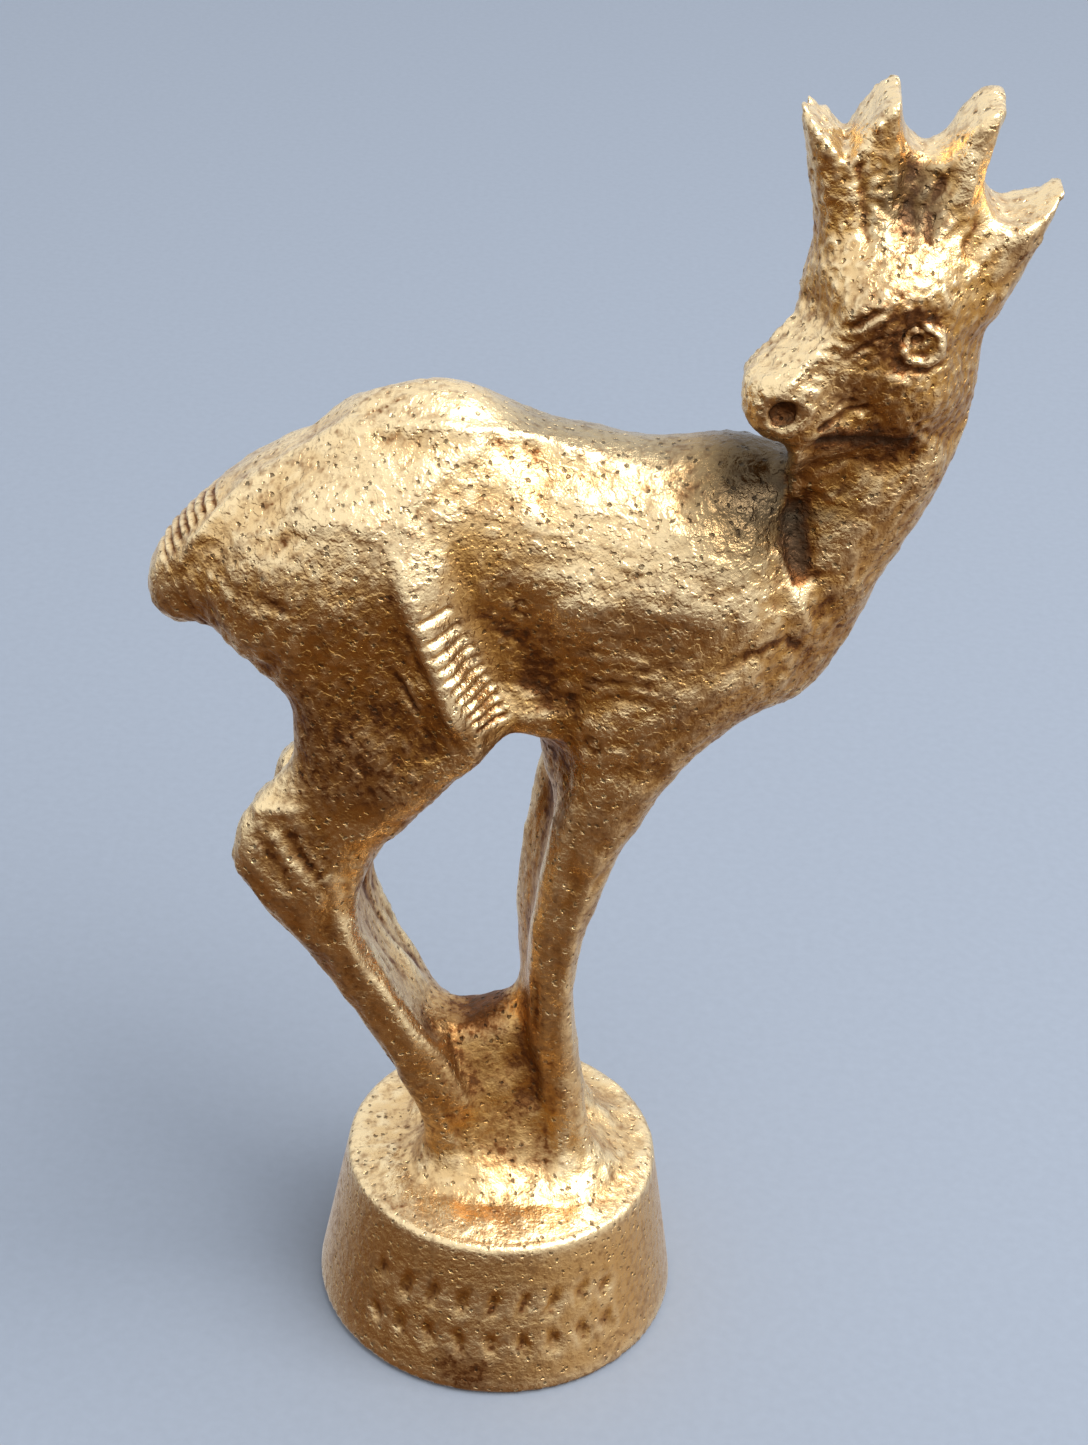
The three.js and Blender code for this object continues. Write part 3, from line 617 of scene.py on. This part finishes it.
def stamp_carving(skin):
    """The few worn strokes on top of the base."""
    x, y, z = skin.points.T
    height = np.zeros(skin.count)
    for i in range(STAMP_COUNT):
        angle = math.radians(STAMP_FROM + (STAMP_TO - STAMP_FROM) * i / (STAMP_COUNT - 1))
        out = np.array([math.cos(angle), math.sin(angle)])
        stroke = [out * (STAMP_RADIUS - STAMP_HALF_LENGTH), out * (STAMP_RADIUS + STAMP_HALF_LENGTH)]
        height += groove(x, y, stroke, STAMP_WIDTH, STAMP_DEPTH)
    return height * ramp(z, BASE_TOP - 0.8, BASE_TOP - 0.4)


def rim_wear(skin):
    """How the top of the base slopes down to its front rim."""
    x, y, z = skin.points.T
    on_top = ramp(z, BASE_TOP - 0.6, BASE_TOP - 0.1) * ramp(z, BASE_TOP + 1.6, BASE_TOP + 0.8)
    outward = np.clip((np.hypot(x, y) - RIM_WORN_FROM) / RIM_WORN_WIDTH, 0, 1)
    return -RIM_WORN_BY * outward**2 * on_top * ramp(y, 2, -4)


def carve(skin, depth):
    """Cuts the planes, then the drawn carving: on the body's far side a little plainer.
    Gives back how deep each vertex was cut, from 0 to 1."""
    for side in (-1, 1):
        for plane in PLANES:
            shave(skin, plane, side)
    normals = skin.normals()
    x, _, z = skin.points.T
    f, _, _ = head_places(skin)
    on_head = ramp(f, -3.5, -1.5) * ramp(z, HEAD_FLOOR + 0.4, HEAD_FLOOR + 2)
    on_crown = ramp(z, CROWN_FLOOR - 0.6, CROWN_FLOOR + 0.8)
    on_body = (1 - on_head) * ramp(z, BASE_TOP + 0.6, BASE_TOP + 2)
    flanks = facing(normals, -1) + 0.75 * facing(normals, 1)
    cheeks = ramp(np.abs(normals @ LEFT), 0.1, 0.45)
    height = body_carving(skin) * flanks * on_body * (1 - on_crown)
    height += hatch_carving(skin)
    height += head_carving(skin) * cheeks * on_head * (1 - on_crown)
    height += drawn(x, z, CROWN_CRESTS, CROWN_GROOVES) * flanks * on_crown
    height += stamp_carving(skin)
    height += rim_wear(skin)
    breast = bowl(x, z, BREAST["at"], BREAST["radius"], BREAST["depth"])
    skin.raise_by((height + breast) * depth)
    roughen(skin, normals, f, depth)
    return np.clip(-height / 0.3, 0, 1)


def roughen(skin, normals, f, depth):
    """Leaves the chisel's strokes on the flanks, the hammered skin and the lumpy top of the base.
    The normals, and f, how far forward on the head each vertex lies, are those before the carving."""
    x, _, z = skin.points.T
    on_base = 1 - ramp(z, BASE_TOP - 0.5, BASE_TOP - 0.1)
    on_turf = (1 - on_base) * (1 - ramp(z, BASE_TOP + 1, BASE_TOP + 3))
    on_face = ramp(f, -3.5, -1) * ramp(z, HEAD_FLOOR, HEAD_FLOOR + 2)
    flute_off, _ = beside(x, z, THIGH_FRONT)
    on_flutes = ramp(flute_off, 3.6, 2.6) * ramp(flute_off, -0.6, 0) * ramp(z, 52.5, 51)
    rough = (1 - 0.85 * on_base) * (1 - 0.85 * on_flutes)
    hammered = 0.06 * lumps(skin.points, 1.9, 1) * (1 - 0.6 * on_face)
    turf = 0.07 * lumps(skin.points, 0.7, 3) + 0.1 * lumps(skin.points, 1.8, 4)
    face = 0.06 * lumps(skin.points, 0.42, 5) * on_face
    sides = ramp(np.abs(normals[:, 1]), 0.15, 0.45)
    strokes = stroke_carving(skin) * (1 - on_face) * (1 - on_turf) * sides
    grain = (hammered + strokes) * rough + turf * on_turf + face
    skin.raise_by(grain * depth * ramp(z, 0.3, 1.2))


# Wear and painted light


def hollows(skin, normals, rounds):
    """How deep each vertex lies under the skin's own average, in millimetres."""
    points = skin.points
    for _ in range(rounds):
        points = skin.around_points(points)
    return np.einsum("ij,ij->i", points - skin.points, normals)


def wear_and_light_zones(skin, normals):
    """The zones that have worn, darkened, or take painted shade and highlights in their own way: for each,
    every vertex's share from 0 to 1.
    """
    x, y, z = skin.points.T
    f, l, u = head_places(skin)
    sideways, upward = np.abs(normals[:, 1]), normals[:, 2]
    on_head = z > HEAD_FLOOR
    from_eye = np.hypot(f - EYE[0], u - EYE[1])
    strip_off, strip_share = beside(x, z, THIGH_FRONT)
    crease_off, crease_share = beside(x, z, NECK_CREASE)
    jaw_off, jaw_share = beside(f, u, JAW_LINE)
    zones = {
        "cut tops": ramp(z, 71, 72) * ramp(sideways, 0.55, 0.35),
        # back: the top of the back, painted lighter, and towards the front painted darker as shade
        "back": ramp(z, 56, 58) * ramp(upward, 0.75, 0.9) * ramp(z, 64, 62),
        # base top: kept light as painted light
        "base top": ramp(z, BASE_TOP + 3, BASE_TOP + 1) * ramp(upward, 0.4, 0.8),
        # flutes: a painted highlight on the fluted strip
        "flutes": ramp(strip_off, 3.2, 1.8) * ramp(strip_off, -0.5, 0.1) * (z < 56),
        # painted highlight on the flank and the hip
        "highlit flank and hip": np.maximum(patch(x, z, "flank"), patch(x, z, "hip")),
        # thigh: painted shade
        "thigh": patch(x, z, "thigh"),
        "web": patch(x, z, "web"),
        "top of the web": patch(x, z, "top of the web"),
        "foot of the base": patch(x, z, "foot of the base") * (y < 0),
        # withers: the head's painted shadow
        "withers": patch(x, z, "withers") * ramp(upward, -0.1, 0.3),
        # crown valley: painted shade between the antlers
        "crown valley": patch(x, z, "crown valley") * ramp(sideways, 0.4, 0.7),
        # neck crease: painted shade in the crease
        "neck crease": ramp(np.abs(crease_off), 1.4, 0.1) * fade(crease_share, 0.3),
        # eye: painted shade in the socket
        "eye": patch(f, u, "eye") * ramp(np.abs(l), 1.5, 3),
        # under the jaw: painted shadow
        "under the jaw": ramp(np.abs(jaw_off + 0.3), 1.1, 0.3) * fade(jaw_share) * on_head,
        # lid: a painted highlight on the lower lid; pupil: less painted shade inside the ring
        "lid": np.clip(1 - np.abs(from_eye - LID_RADIUS - 0.05) / 0.3, 0, 1) * on_head,
        "pupil": ramp(from_eye, 0.9, 0.5) * on_head,
        # muzzle: a painted highlight on the side of the muzzle
        "muzzle": ramp(f, 3.2, 5.2) * ramp(u, -2.2, -1.2) * on_head,
    }
    zones["flutes"] *= 0.3 + 0.7 * fade(strip_share, 0.3)
    zones["under the jaw"] *= ramp(np.abs(l), 0.5, 1.3)
    zones["lid"] *= ramp(f + u, 2.2, 1)
    return zones


# How much darker each zone is than its hollows alone would make it: painted shade in the eye socket, in the
# neck crease, between the antlers and on the thigh, and painted shadow under the jaw; darker on the web, on
# the top of the web and low on the front of the base. The lid and the pupil take painted shade away.
STAINS_AND_PAINTED_SHADE = {
    "web": 0.3,
    "thigh": 0.5,
    "neck crease": 0.5,
    "top of the web": 0.9,
    "foot of the base": 0.8,
    "eye": 0.25,
    "under the jaw": 1,
    "crown valley": 0.2,
    "lid": -0.9,
    "pupil": -0.4,
}
# How much lighter each zone is: painted highlights on the flank and hip, the flutes, the top of the back,
# the lower lid and the muzzle; polish on the cut tops
RUBS_AND_PAINTED_HIGHLIGHTS = {"highlit flank and hip": 0.3, "cut tops": 0.6, "back": 0.3, "flutes": 0.35, "lid": 0.5, "muzzle": 0.35}


def mark_wear_and_painted_light(skin, cut):
    """Stores, for the material, where oxide and painted shade lie, where the skin is polished and where it
    takes a painted highlight, where painted shade dulls it and where it is flecked.
    Hollows are brown, broad hollows and what faces down are darker with painted shade, high spots are
    polished, and what faces up is lighter with a painted highlight."""
    normals = skin.normals()
    x, _, z = skin.points.T
    sideways, upward = np.abs(normals[:, 1]), normals[:, 2]
    zones = wear_and_light_zones(skin, normals)
    crisp = hollows(skin, normals, 3)
    fine = hollows(skin, normals, 10)
    broad = hollows(skin, normals, 110)

    # Oxide in small hollows and in the carving; painted shade in broad hollows and on what faces down
    patina_and_shade = 0.3 * ramp(crisp, 0.004, 0.04) + 0.4 * ramp(fine, 0.01, 0.1) + 0.3 * ramp(broad, 0.15, 0.8)
    patina_and_shade += 0.55 * cut + 0.25 * ramp(upward, 0.1, -0.3) * ramp(z, BASE_TOP, BASE_TOP + 4)
    # Less darkening on the web and on the painted highlight of the flank and hip
    patina_and_shade *= (1 - 0.4 * zones["web"]) * (1 - 0.4 * zones["highlit flank and hip"])
    # The cut tops are polished clear of oxide; the flutes and the base top are kept light as painted light
    clean_and_lit = 0.8 * zones["cut tops"] + 0.75 * zones["flutes"] + 0.7 * zones["base top"]
    patina_and_shade *= 1 - np.clip(clean_and_lit, 0, 0.9)
    # painted shade, and the darker zones of the table above
    patina_and_shade += sum(share * zones[name] for name, share in STAINS_AND_PAINTED_SHADE.items())
    skin.keep("patina_and_shade", np.maximum(patina_and_shade, 0))

    # Polish on high spots; what faces up gets a painted highlight
    rubbed_and_lit = 0.3 * ramp(-crisp, 0.002, 0.035) + 0.3 * ramp(-fine, 0, 0.08) + 0.15 * ramp(-broad, 0, 0.5)
    rubbed_and_lit += 0.55 * ramp(upward, 0.02, 0.5)
    rubbed_and_lit += sum(share * zones[name] for name, share in RUBS_AND_PAINTED_HIGHLIGHTS.items())
    # The head's painted shadow on the withers takes the lighter tone away there; the web is kept to one tone
    shadowed_withers_and_web = (1 - 0.8 * zones["withers"]) * (1 - 0.6 * zones["web"])
    skin.keep("rubbed_and_lit", np.clip(rubbed_and_lit, 0, 1) * shadowed_withers_and_web)

    # Painted shade on the top of the back, the head's painted shadow on the withers and painted shade
    # between the antlers
    painted_shade_on_back = 0.55 * zones["back"] * ramp(x, -4, 0)
    skin.keep("painted_shade", np.maximum.reduce([zones["withers"], painted_shade_on_back, 0.6 * zones["crown valley"]]))

    flecked = ramp(sideways, 0.2, 0.6) * ramp(z, 36, 42) * ramp(z, 66, 62) + 0.9 * ramp(z, 62, 64)
    plain = (1 - 0.7 * zones["back"]) * (1 - 0.7 * zones["cut tops"])
    skin.keep("flecked", np.clip(flecked, 0, 1) * plain)


# Materials


def add_node(tree, kind, inputs=None, **settings):
    """Adds a node with its settings; an input is either a value or the socket that it is linked to."""
    made = tree.nodes.new(kind)
    for name, value in settings.items():
        setattr(made, name, value)
    for name, value in (inputs or {}).items():
        if isinstance(value, bpy.types.NodeSocket):
            tree.links.new(value, made.inputs[name])
        else:
            made.inputs[name].default_value = value
    return made


def new_material(name):
    material = bpy.data.materials.new(name)
    material.use_nodes = True
    material.node_tree.nodes.clear()
    return material, material.node_tree


# The noises of the brass skin: the real size of each in millimetres, its detail and its roughness
NOISES = {
    "cloud": (3.2, 5.0, 0.6),
    "grain": (0.5, 4.0, 0.62),
    "chip": (0.6, 2.0, 0.5),
    "fleck": (0.36, 1.5, 0.5),
    "wander": (0.22, 1.0, 0.5),
}
PIT_PITCH = 2.4  # from pit to pit, in pit widths
PIT_BEND = 0.3 * MM  # how far a pit's outline strays from round
BUMP = 0.12 * MM  # how far the finest relief rises and falls


def sand_cast_brass(settings):
    """Sand-cast brass after years of handling: polished bright on the high spots, brown oxide and old polish
    in the hollows, with painted highlights on what faces up and on listed patches, and painted shade in
    broad hollows, on undersides and in listed zones.
    The eye sees a soft, uneven gloss with flecks, and small sand pits."""
    material, tree = new_material("sand_cast_brass")
    place = add_node(tree, "ShaderNodeTexCoord").outputs["Object"]
    patina_and_shade, rubbed_and_lit, flecked, shading = (
        add_node(tree, "ShaderNodeAttribute", attribute_name=name).outputs["Fac"]
        for name in ("patina_and_shade", "rubbed_and_lit", "flecked", "painted_shade")
    )
    noises = {
        name: add_node(
            tree,
            "ShaderNodeTexNoise",
            {"Vector": place, "Scale": 1 / (size * MM), "Detail": detail, "Roughness": roughness},
        )
        for name, (size, detail, roughness) in NOISES.items()
    }
    grain = noises["grain"].outputs["Fac"]

    # Sand pits: round cells with their outlines bent, of which only some are pits
    bent = add_node(
        tree,
        "ShaderNodeVectorMath",
        {0: noises["wander"].outputs["Color"], 1: (PIT_BEND, PIT_BEND, PIT_BEND), 2: place},
        operation="MULTIPLY_ADD",
    )
    cells = add_node(
        tree,
        "ShaderNodeTexVoronoi",
        {"Vector": bent.outputs[0], "Scale": 1 / (PIT_PITCH * settings.pit), "Randomness": 1.0},
    )
    chosen = add_node(
        tree, "ShaderNodeMapRange", {"Value": cells.outputs["Color"], "From Min": 0.24, "From Max": 0.42}
    )
    hole = add_node(
        tree, "ShaderNodeMapRange", {"Value": cells.outputs["Distance"], "From Min": 0.28, "From Max": 0.12}
    )
    pit = add_node(
        tree, "ShaderNodeMath", {0: hole.outputs[0], 1: chosen.outputs[0]}, operation="MULTIPLY"
    ).outputs[0]

    # What darkens the skin: oxide in the hollows, painted shade in broad hollows, on undersides and in
    # listed zones, clouds of oxide, specks and flecks
    mottle = add_node(
        tree,
        "ShaderNodeMapRange",
        {"Value": noises["cloud"].outputs["Fac"], "From Min": 0.35, "From Max": 0.7},
    )
    speck = add_node(
        tree, "ShaderNodeMapRange", {"Value": grain, "From Min": 0.45, "From Max": 0.65, "To Max": 0.5}
    )
    flecks = add_node(
        tree,
        "ShaderNodeMapRange",
        {"Value": noises["fleck"].outputs["Fac"], "From Min": 0.52, "From Max": 0.7, "To Max": 0.32},
    )
    settled_and_shaded = add_node(
        tree, "ShaderNodeMath", {0: mottle.outputs[0], 1: 0.5, 2: patina_and_shade}, operation="MULTIPLY_ADD"
    ).outputs[0]
    for more in (speck, flecks):
        settled_and_shaded = add_node(
            tree, "ShaderNodeMath", {0: settled_and_shaded, 1: more.outputs[0]}, operation="ADD"
        ).outputs[0]
    # Oxide colour, for oxide and painted shade
    browned_and_shaded = add_node(
        tree, "ShaderNodeMapRange", {"Value": settled_and_shaded, "From Min": 0.35, "From Max": 1.35}
    ).outputs[0]
    # Darkest tone where the darkening runs deepest: old polish in deep creases, and painted shade as under
    # the jaw
    grime_and_shade = add_node(
        tree, "ShaderNodeMapRange", {"Value": settled_and_shaded, "From Min": 1.1, "From Max": 2.1, "To Max": 0.75}
    ).outputs[0]
    # Painted shade: the head's shadow on the withers, the top of the back and between the antlers
    painted_shade = add_node(tree, "ShaderNodeMath", {0: shading, 1: 0.94}, operation="MULTIPLY").outputs[0]
    dirty = add_node(tree, "ShaderNodeMath", {0: pit, 1: 0.7}, operation="MULTIPLY").outputs[0]

    colour = (*settings.brass, 1)
    for share, layer in (
        # Polished colour and painted highlights
        (rubbed_and_lit, settings.rubbed_and_lit),
        (browned_and_shaded, settings.patina_and_shade_tone),
        (grime_and_shade, settings.dirt_and_deep_shade),
        (painted_shade, settings.painted_shade_colour),
        (dirty, settings.dirt_and_deep_shade),
    ):
        colour = add_node(
            tree, "ShaderNodeMix", {"Factor": share, "A": colour, "B": (*layer, 1)}, data_type="RGBA"
        ).outputs["Result"]

    gloss = add_node(tree, "ShaderNodeMapRange", {"Value": browned_and_shaded, "To Min": 0.26, "To Max": 0.5})
    gloss = add_node(
        tree, "ShaderNodeMath", {0: pit, 1: 0.3, 2: gloss.outputs[0]}, operation="MULTIPLY_ADD"
    ).outputs[0]

    # The finest relief: grain, pits, and on the worked planes the chips between tool marks
    chips = add_node(
        tree,
        "ShaderNodeMapRange",
        {"Value": noises["chip"].outputs["Fac"], "From Min": 0.5, "From Max": 0.6},
        interpolation_type="SMOOTHSTEP",
    )
    chipped = add_node(
        tree, "ShaderNodeMath", {0: chips.outputs[0], 1: flecked}, operation="MULTIPLY"
    ).outputs[0]
    relief = add_node(tree, "ShaderNodeMath", {0: pit, 1: -0.7, 2: grain}, operation="MULTIPLY_ADD")
    relief = add_node(
        tree, "ShaderNodeMath", {0: chipped, 1: 0.28, 2: relief.outputs[0]}, operation="MULTIPLY_ADD"
    )
    relief = relief.outputs[0]
    bump = add_node(tree, "ShaderNodeBump", {"Height": relief, "Distance": BUMP, "Strength": 0.9})
    shader = add_node(
        tree,
        "ShaderNodeBsdfPrincipled",
        {"Base Color": colour, "Metallic": 1.0, "Roughness": gloss, "Normal": bump.outputs["Normal"]},
    )
    add_node(tree, "ShaderNodeOutputMaterial", {"Surface": shader.outputs["BSDF"]})
    return material


FIBRE = 0.7 * MM  # coarser than real fibres, so that the mottle shows
FIBRE_BUMP = 0.03 * MM


def matt_paper(settings):
    """Thick matt paper: no gloss, with the faint mottle of its fibres."""
    material, tree = new_material("matt_paper")
    place = add_node(tree, "ShaderNodeTexCoord").outputs["Object"]
    fibre = add_node(
        tree, "ShaderNodeTexNoise", {"Vector": place, "Scale": 1 / FIBRE, "Detail": 3.0}
    ).outputs["Fac"]
    shade = add_node(tree, "ShaderNodeMapRange", {"Value": fibre, "To Min": 0.93, "To Max": 1.05})
    tone = add_node(
        tree,
        "ShaderNodeMix",
        {"Factor": 1.0, "A": (*settings.paper, 1), "B": shade.outputs[0]},
        data_type="RGBA",
        blend_type="MULTIPLY",
    )
    bump = add_node(tree, "ShaderNodeBump", {"Height": fibre, "Distance": FIBRE_BUMP, "Strength": 0.4})
    shader = add_node(
        tree,
        "ShaderNodeBsdfPrincipled",
        {"Base Color": tone.outputs["Result"], "Roughness": 0.9, "Normal": bump.outputs["Normal"]},
    )
    add_node(tree, "ShaderNodeOutputMaterial", {"Surface": shader.outputs["BSDF"]})
    return material


# The casting


def merged_copy(source):
    """The solid's mesh with its loose triangles joined."""
    mesh = source.data.copy()
    work = bmesh.new()
    work.from_mesh(mesh)
    bmesh.ops.remove_doubles(work, verts=work.verts, dist=0.001 * MM)
    work.to_mesh(mesh)
    work.free()
    return mesh


def even_mesh(piece, cell):
    """The piece's shape again in one closed mesh of even cells."""
    remesh = piece.modifiers.new("Even cells", "REMESH")
    remesh.mode = "VOXEL"
    remesh.voxel_size = cell
    graph = bpy.context.evaluated_depsgraph_get()
    mesh = bpy.data.meshes.new_from_object(piece.evaluated_get(graph))
    piece.modifiers.clear()
    return mesh


def refine(mesh, chosen):
    """Splits the faces between chosen vertices into four."""
    work = bmesh.new()
    work.from_mesh(mesh)
    edges = [e for e in work.edges if chosen[e.verts[0].index] and chosen[e.verts[1].index]]
    bmesh.ops.subdivide_edges(work, edges=edges, cuts=1, use_grid_fill=True)
    work.to_mesh(mesh)
    work.free()


def soften(skin):
    """Evens out the cells' steps: least at the base, the nostril and the crown, most on two ledges."""
    x, _, z = skin.points.T
    f, _, u = head_places(skin)
    from_nostril = np.hypot(f - NOSTRIL[0], u - NOSTRIL[1])
    soft = 0.15 + 0.85 * ramp(z, BASE_TOP - 1.6, BASE_TOP - 0.6)
    soft *= 1 - 0.7 * ramp(from_nostril, 1.8, 1.1) * ramp(z, HEAD_FLOOR + 1, HEAD_FLOOR + 2)
    soft *= 1 - 0.6 * ramp(z, CROWN_FLOOR + 1, CROWN_FLOOR + 3)
    skin.smooth(18, soft)
    ledges = patch(x, z, "ledge behind the chin") + patch(x, z, "ledge of the web")
    skin.smooth(24, np.clip(ledges, 0, 1))


def fine_zones(skin):
    """Which vertices need finer cells for their carving: the head, the tail hatch and the flutes."""
    x, _, z = skin.points.T
    f, _, _ = head_places(skin)
    head = (f > -4.2) & (z > HEAD_FLOOR + 0.5)
    hatch = (x < -16) & (z > 50)
    flutes = (np.abs(x + 3.4) < 3.2) & (np.abs(z - 47.4) < 4.6)
    return head | hatch | flutes


def soften_fine_zones(skin):
    """Evens out the finer cells of the head, and the throat where they end."""
    x, _, z = skin.points.T
    skin.smooth(10, ramp(z, HEAD_FLOOR, HEAD_FLOOR + 1))
    skin.smooth(20, ramp(x, 17.4, 18.6) * ramp(z, 48, 52) * ramp(z, 68.5, 67))


class BRASS_OT_casting(bpy.types.Operator):
    """Make the casting: deer and base in one piece, carved, worn and patinated, with painted shade and
    highlights in its colour
    """

    bl_idname = "brass.casting"
    bl_label = "Casting"

    def execute(self, context):
        settings = context.scene.brass_casting
        piece = bpy.data.objects.new("brass_casting", merged_copy(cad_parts[NODE]))
        context.scene.collection.objects.link(piece)
        piece.data = even_mesh(piece, settings.cell)
        piece.data.name = "brass_casting"

        skin = Skin(piece.data)
        soften(skin)
        skin.store()
        refine(piece.data, fine_zones(skin))
        skin = Skin(piece.data)
        soften_fine_zones(skin)
        cut = carve(skin, settings.carving)
        skin.points = np.clip(skin.points, np.array(LOW) / MM, np.array(HIGH) / MM)
        mark_wear_and_painted_light(skin, cut)
        skin.store()

        piece.data.shade_smooth()
        piece.data.materials.clear()
        piece.data.materials.append(sand_cast_brass(settings))
        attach(piece, "root")
        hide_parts(NODE)
        return {"FINISHED"}


# The stage

CAMERA_PLACE = Vector((0, -123.1, 120.7)) * MM
CAMERA_AIM = Vector((1.05, 0, 41.04)) * MM
CAMERA_ROLL = math.radians(3.43)
CAMERA_LENS = 66.5
CAMERA_SENSOR = 36  # millimetres, along the photograph's long side

# The window, in metres
WINDOW_PLACE = (0.25, -0.1, 0.46)
WINDOW_AIM = (0, 0, 0.04)
WINDOW_SIZE = (0.38, 0.38)
WINDOW_COLOUR = "f6f7fa"


def add_camera(scene):
    """The camera where the photograph was taken from, rolled a little as it was."""
    camera = bpy.data.cameras.new("camera")
    camera.lens = CAMERA_LENS
    camera.sensor_width = CAMERA_SENSOR
    camera.sensor_fit = "AUTO"
    camera.clip_start = 0.01
    seen = bpy.data.objects.new("camera", camera)
    ahead = (CAMERA_AIM - CAMERA_PLACE).normalized()
    right = ahead.cross(Vector((0, 0, 1))).normalized()
    above = right.cross(ahead)
    rolled_right = right * math.cos(CAMERA_ROLL) + above * math.sin(CAMERA_ROLL)
    rolled_above = above * math.cos(CAMERA_ROLL) - right * math.sin(CAMERA_ROLL)
    turn = Matrix((rolled_right, rolled_above, -ahead)).transposed().to_4x4()
    seen.matrix_world = Matrix.Translation(CAMERA_PLACE) @ turn
    scene.collection.objects.link(seen)
    scene.camera = seen


def add_window(scene, power):
    """The big soft light high on the right."""
    lamp = bpy.data.lights.new("window", "AREA")
    lamp.shape = "RECTANGLE"
    lamp.size, lamp.size_y = WINDOW_SIZE
    lamp.energy = power
    lamp.color = linear(WINDOW_COLOUR)
    holder = bpy.data.objects.new("window", lamp)
    holder.location = WINDOW_PLACE
    towards = Vector(WINDOW_AIM) - Vector(WINDOW_PLACE)
    holder.rotation_euler = towards.to_track_quat("-Z", "Y").to_euler()
    scene.collection.objects.link(holder)


def add_room(scene, settings):
    """The room round the sheet: dim and warm low in front, pale on the right and above, grey behind."""
    world = bpy.data.worlds.new("room")
    scene.world = world
    world.use_nodes = True
    tree = world.node_tree
    tree.nodes.clear()
    place = add_node(tree, "ShaderNodeTexCoord").outputs["Generated"]
    way = add_node(tree, "ShaderNodeSeparateXYZ", {"Vector": place})
    room = (*settings.room_low, 1)
    for axis, starts, full, wall in (
        ("X", 0.1, 0.95, settings.room_right),
        ("Z", -0.46, 0.08, settings.room_high),
        ("Y", 0.1, 0.7, settings.room_back),
    ):
        share = add_node(
            tree,
            "ShaderNodeMapRange",
            {"Value": way.outputs[axis], "From Min": starts, "From Max": full},
            interpolation_type="SMOOTHSTEP",
        ).outputs[0]
        room = add_node(
            tree, "ShaderNodeMix", {"Factor": share, "A": room, "B": (*wall, 1)}, data_type="RGBA"
        ).outputs["Result"]
    strength = add_node(
        tree,
        "ShaderNodeMapRange",
        {"Value": way.outputs["Z"], "From Min": -0.3, "From Max": 0.35, "To Min": 0.9, "To Max": 1.65},
        interpolation_type="SMOOTHSTEP",
    ).outputs[0]
    light = add_node(tree, "ShaderNodeBackground", {"Color": room, "Strength": strength})
    add_node(tree, "ShaderNodeOutputWorld", {"Surface": light.outputs["Background"]})


class BRASS_OT_stage(bpy.types.Operator):
    """Lay the sheet of paper and set the lights and the camera"""

    bl_idname = "brass.stage"
    bl_label = "Stage"

    def execute(self, context):
        scene = context.scene
        settings = scene.brass_stage
        work = bmesh.new()
        bmesh.ops.create_grid(work, x_segments=1, y_segments=1, size=settings.sheet / 2)
        mesh = bpy.data.meshes.new("sheet")
        work.to_mesh(mesh)
        work.free()
        sheet = bpy.data.objects.new("sheet", mesh)
        mesh.materials.append(matt_paper(settings))
        sheet.visible_glossy = False
        scene.collection.objects.link(sheet)
        add_camera(scene)
        add_window(scene, settings.window_power)
        add_room(scene, settings)
        scene.view_settings.view_transform = "Standard"
        return {"FINISHED"}


# Panel and running


class BRASS_PT_panel(bpy.types.Panel):
    """Buttons and settings for the brass deer"""

    bl_idname = "BRASS_PT_panel"
    bl_label = "Brass Deer"
    bl_space_type = "VIEW_3D"
    bl_region_type = "UI"
    bl_category = "Brass Deer"

    def draw(self, context):
        for settings, operator in (
            (context.scene.brass_casting, BRASS_OT_casting),
            (context.scene.brass_stage, BRASS_OT_stage),
        ):
            box = self.layout.box()
            for name in settings.__annotations__:
                box.prop(settings, name)
            box.operator(operator.bl_idname)


CLASSES = (CastingSettings, StageSettings, BRASS_OT_casting, BRASS_OT_stage, BRASS_PT_panel)


def register():
    for item in CLASSES:
        bpy.utils.register_class(item)
    bpy.types.Scene.brass_casting = bpy.props.PointerProperty(type=CastingSettings)
    bpy.types.Scene.brass_stage = bpy.props.PointerProperty(type=StageSettings)


def unregister():
    del bpy.types.Scene.brass_stage
    del bpy.types.Scene.brass_casting
    for item in reversed(CLASSES):
        bpy.utils.unregister_class(item)


def main():
    register()
    bpy.ops.brass.stage()
    bpy.ops.brass.casting()
    bpy.context.view_layer.update()


if __name__ == "__main__":
    main()
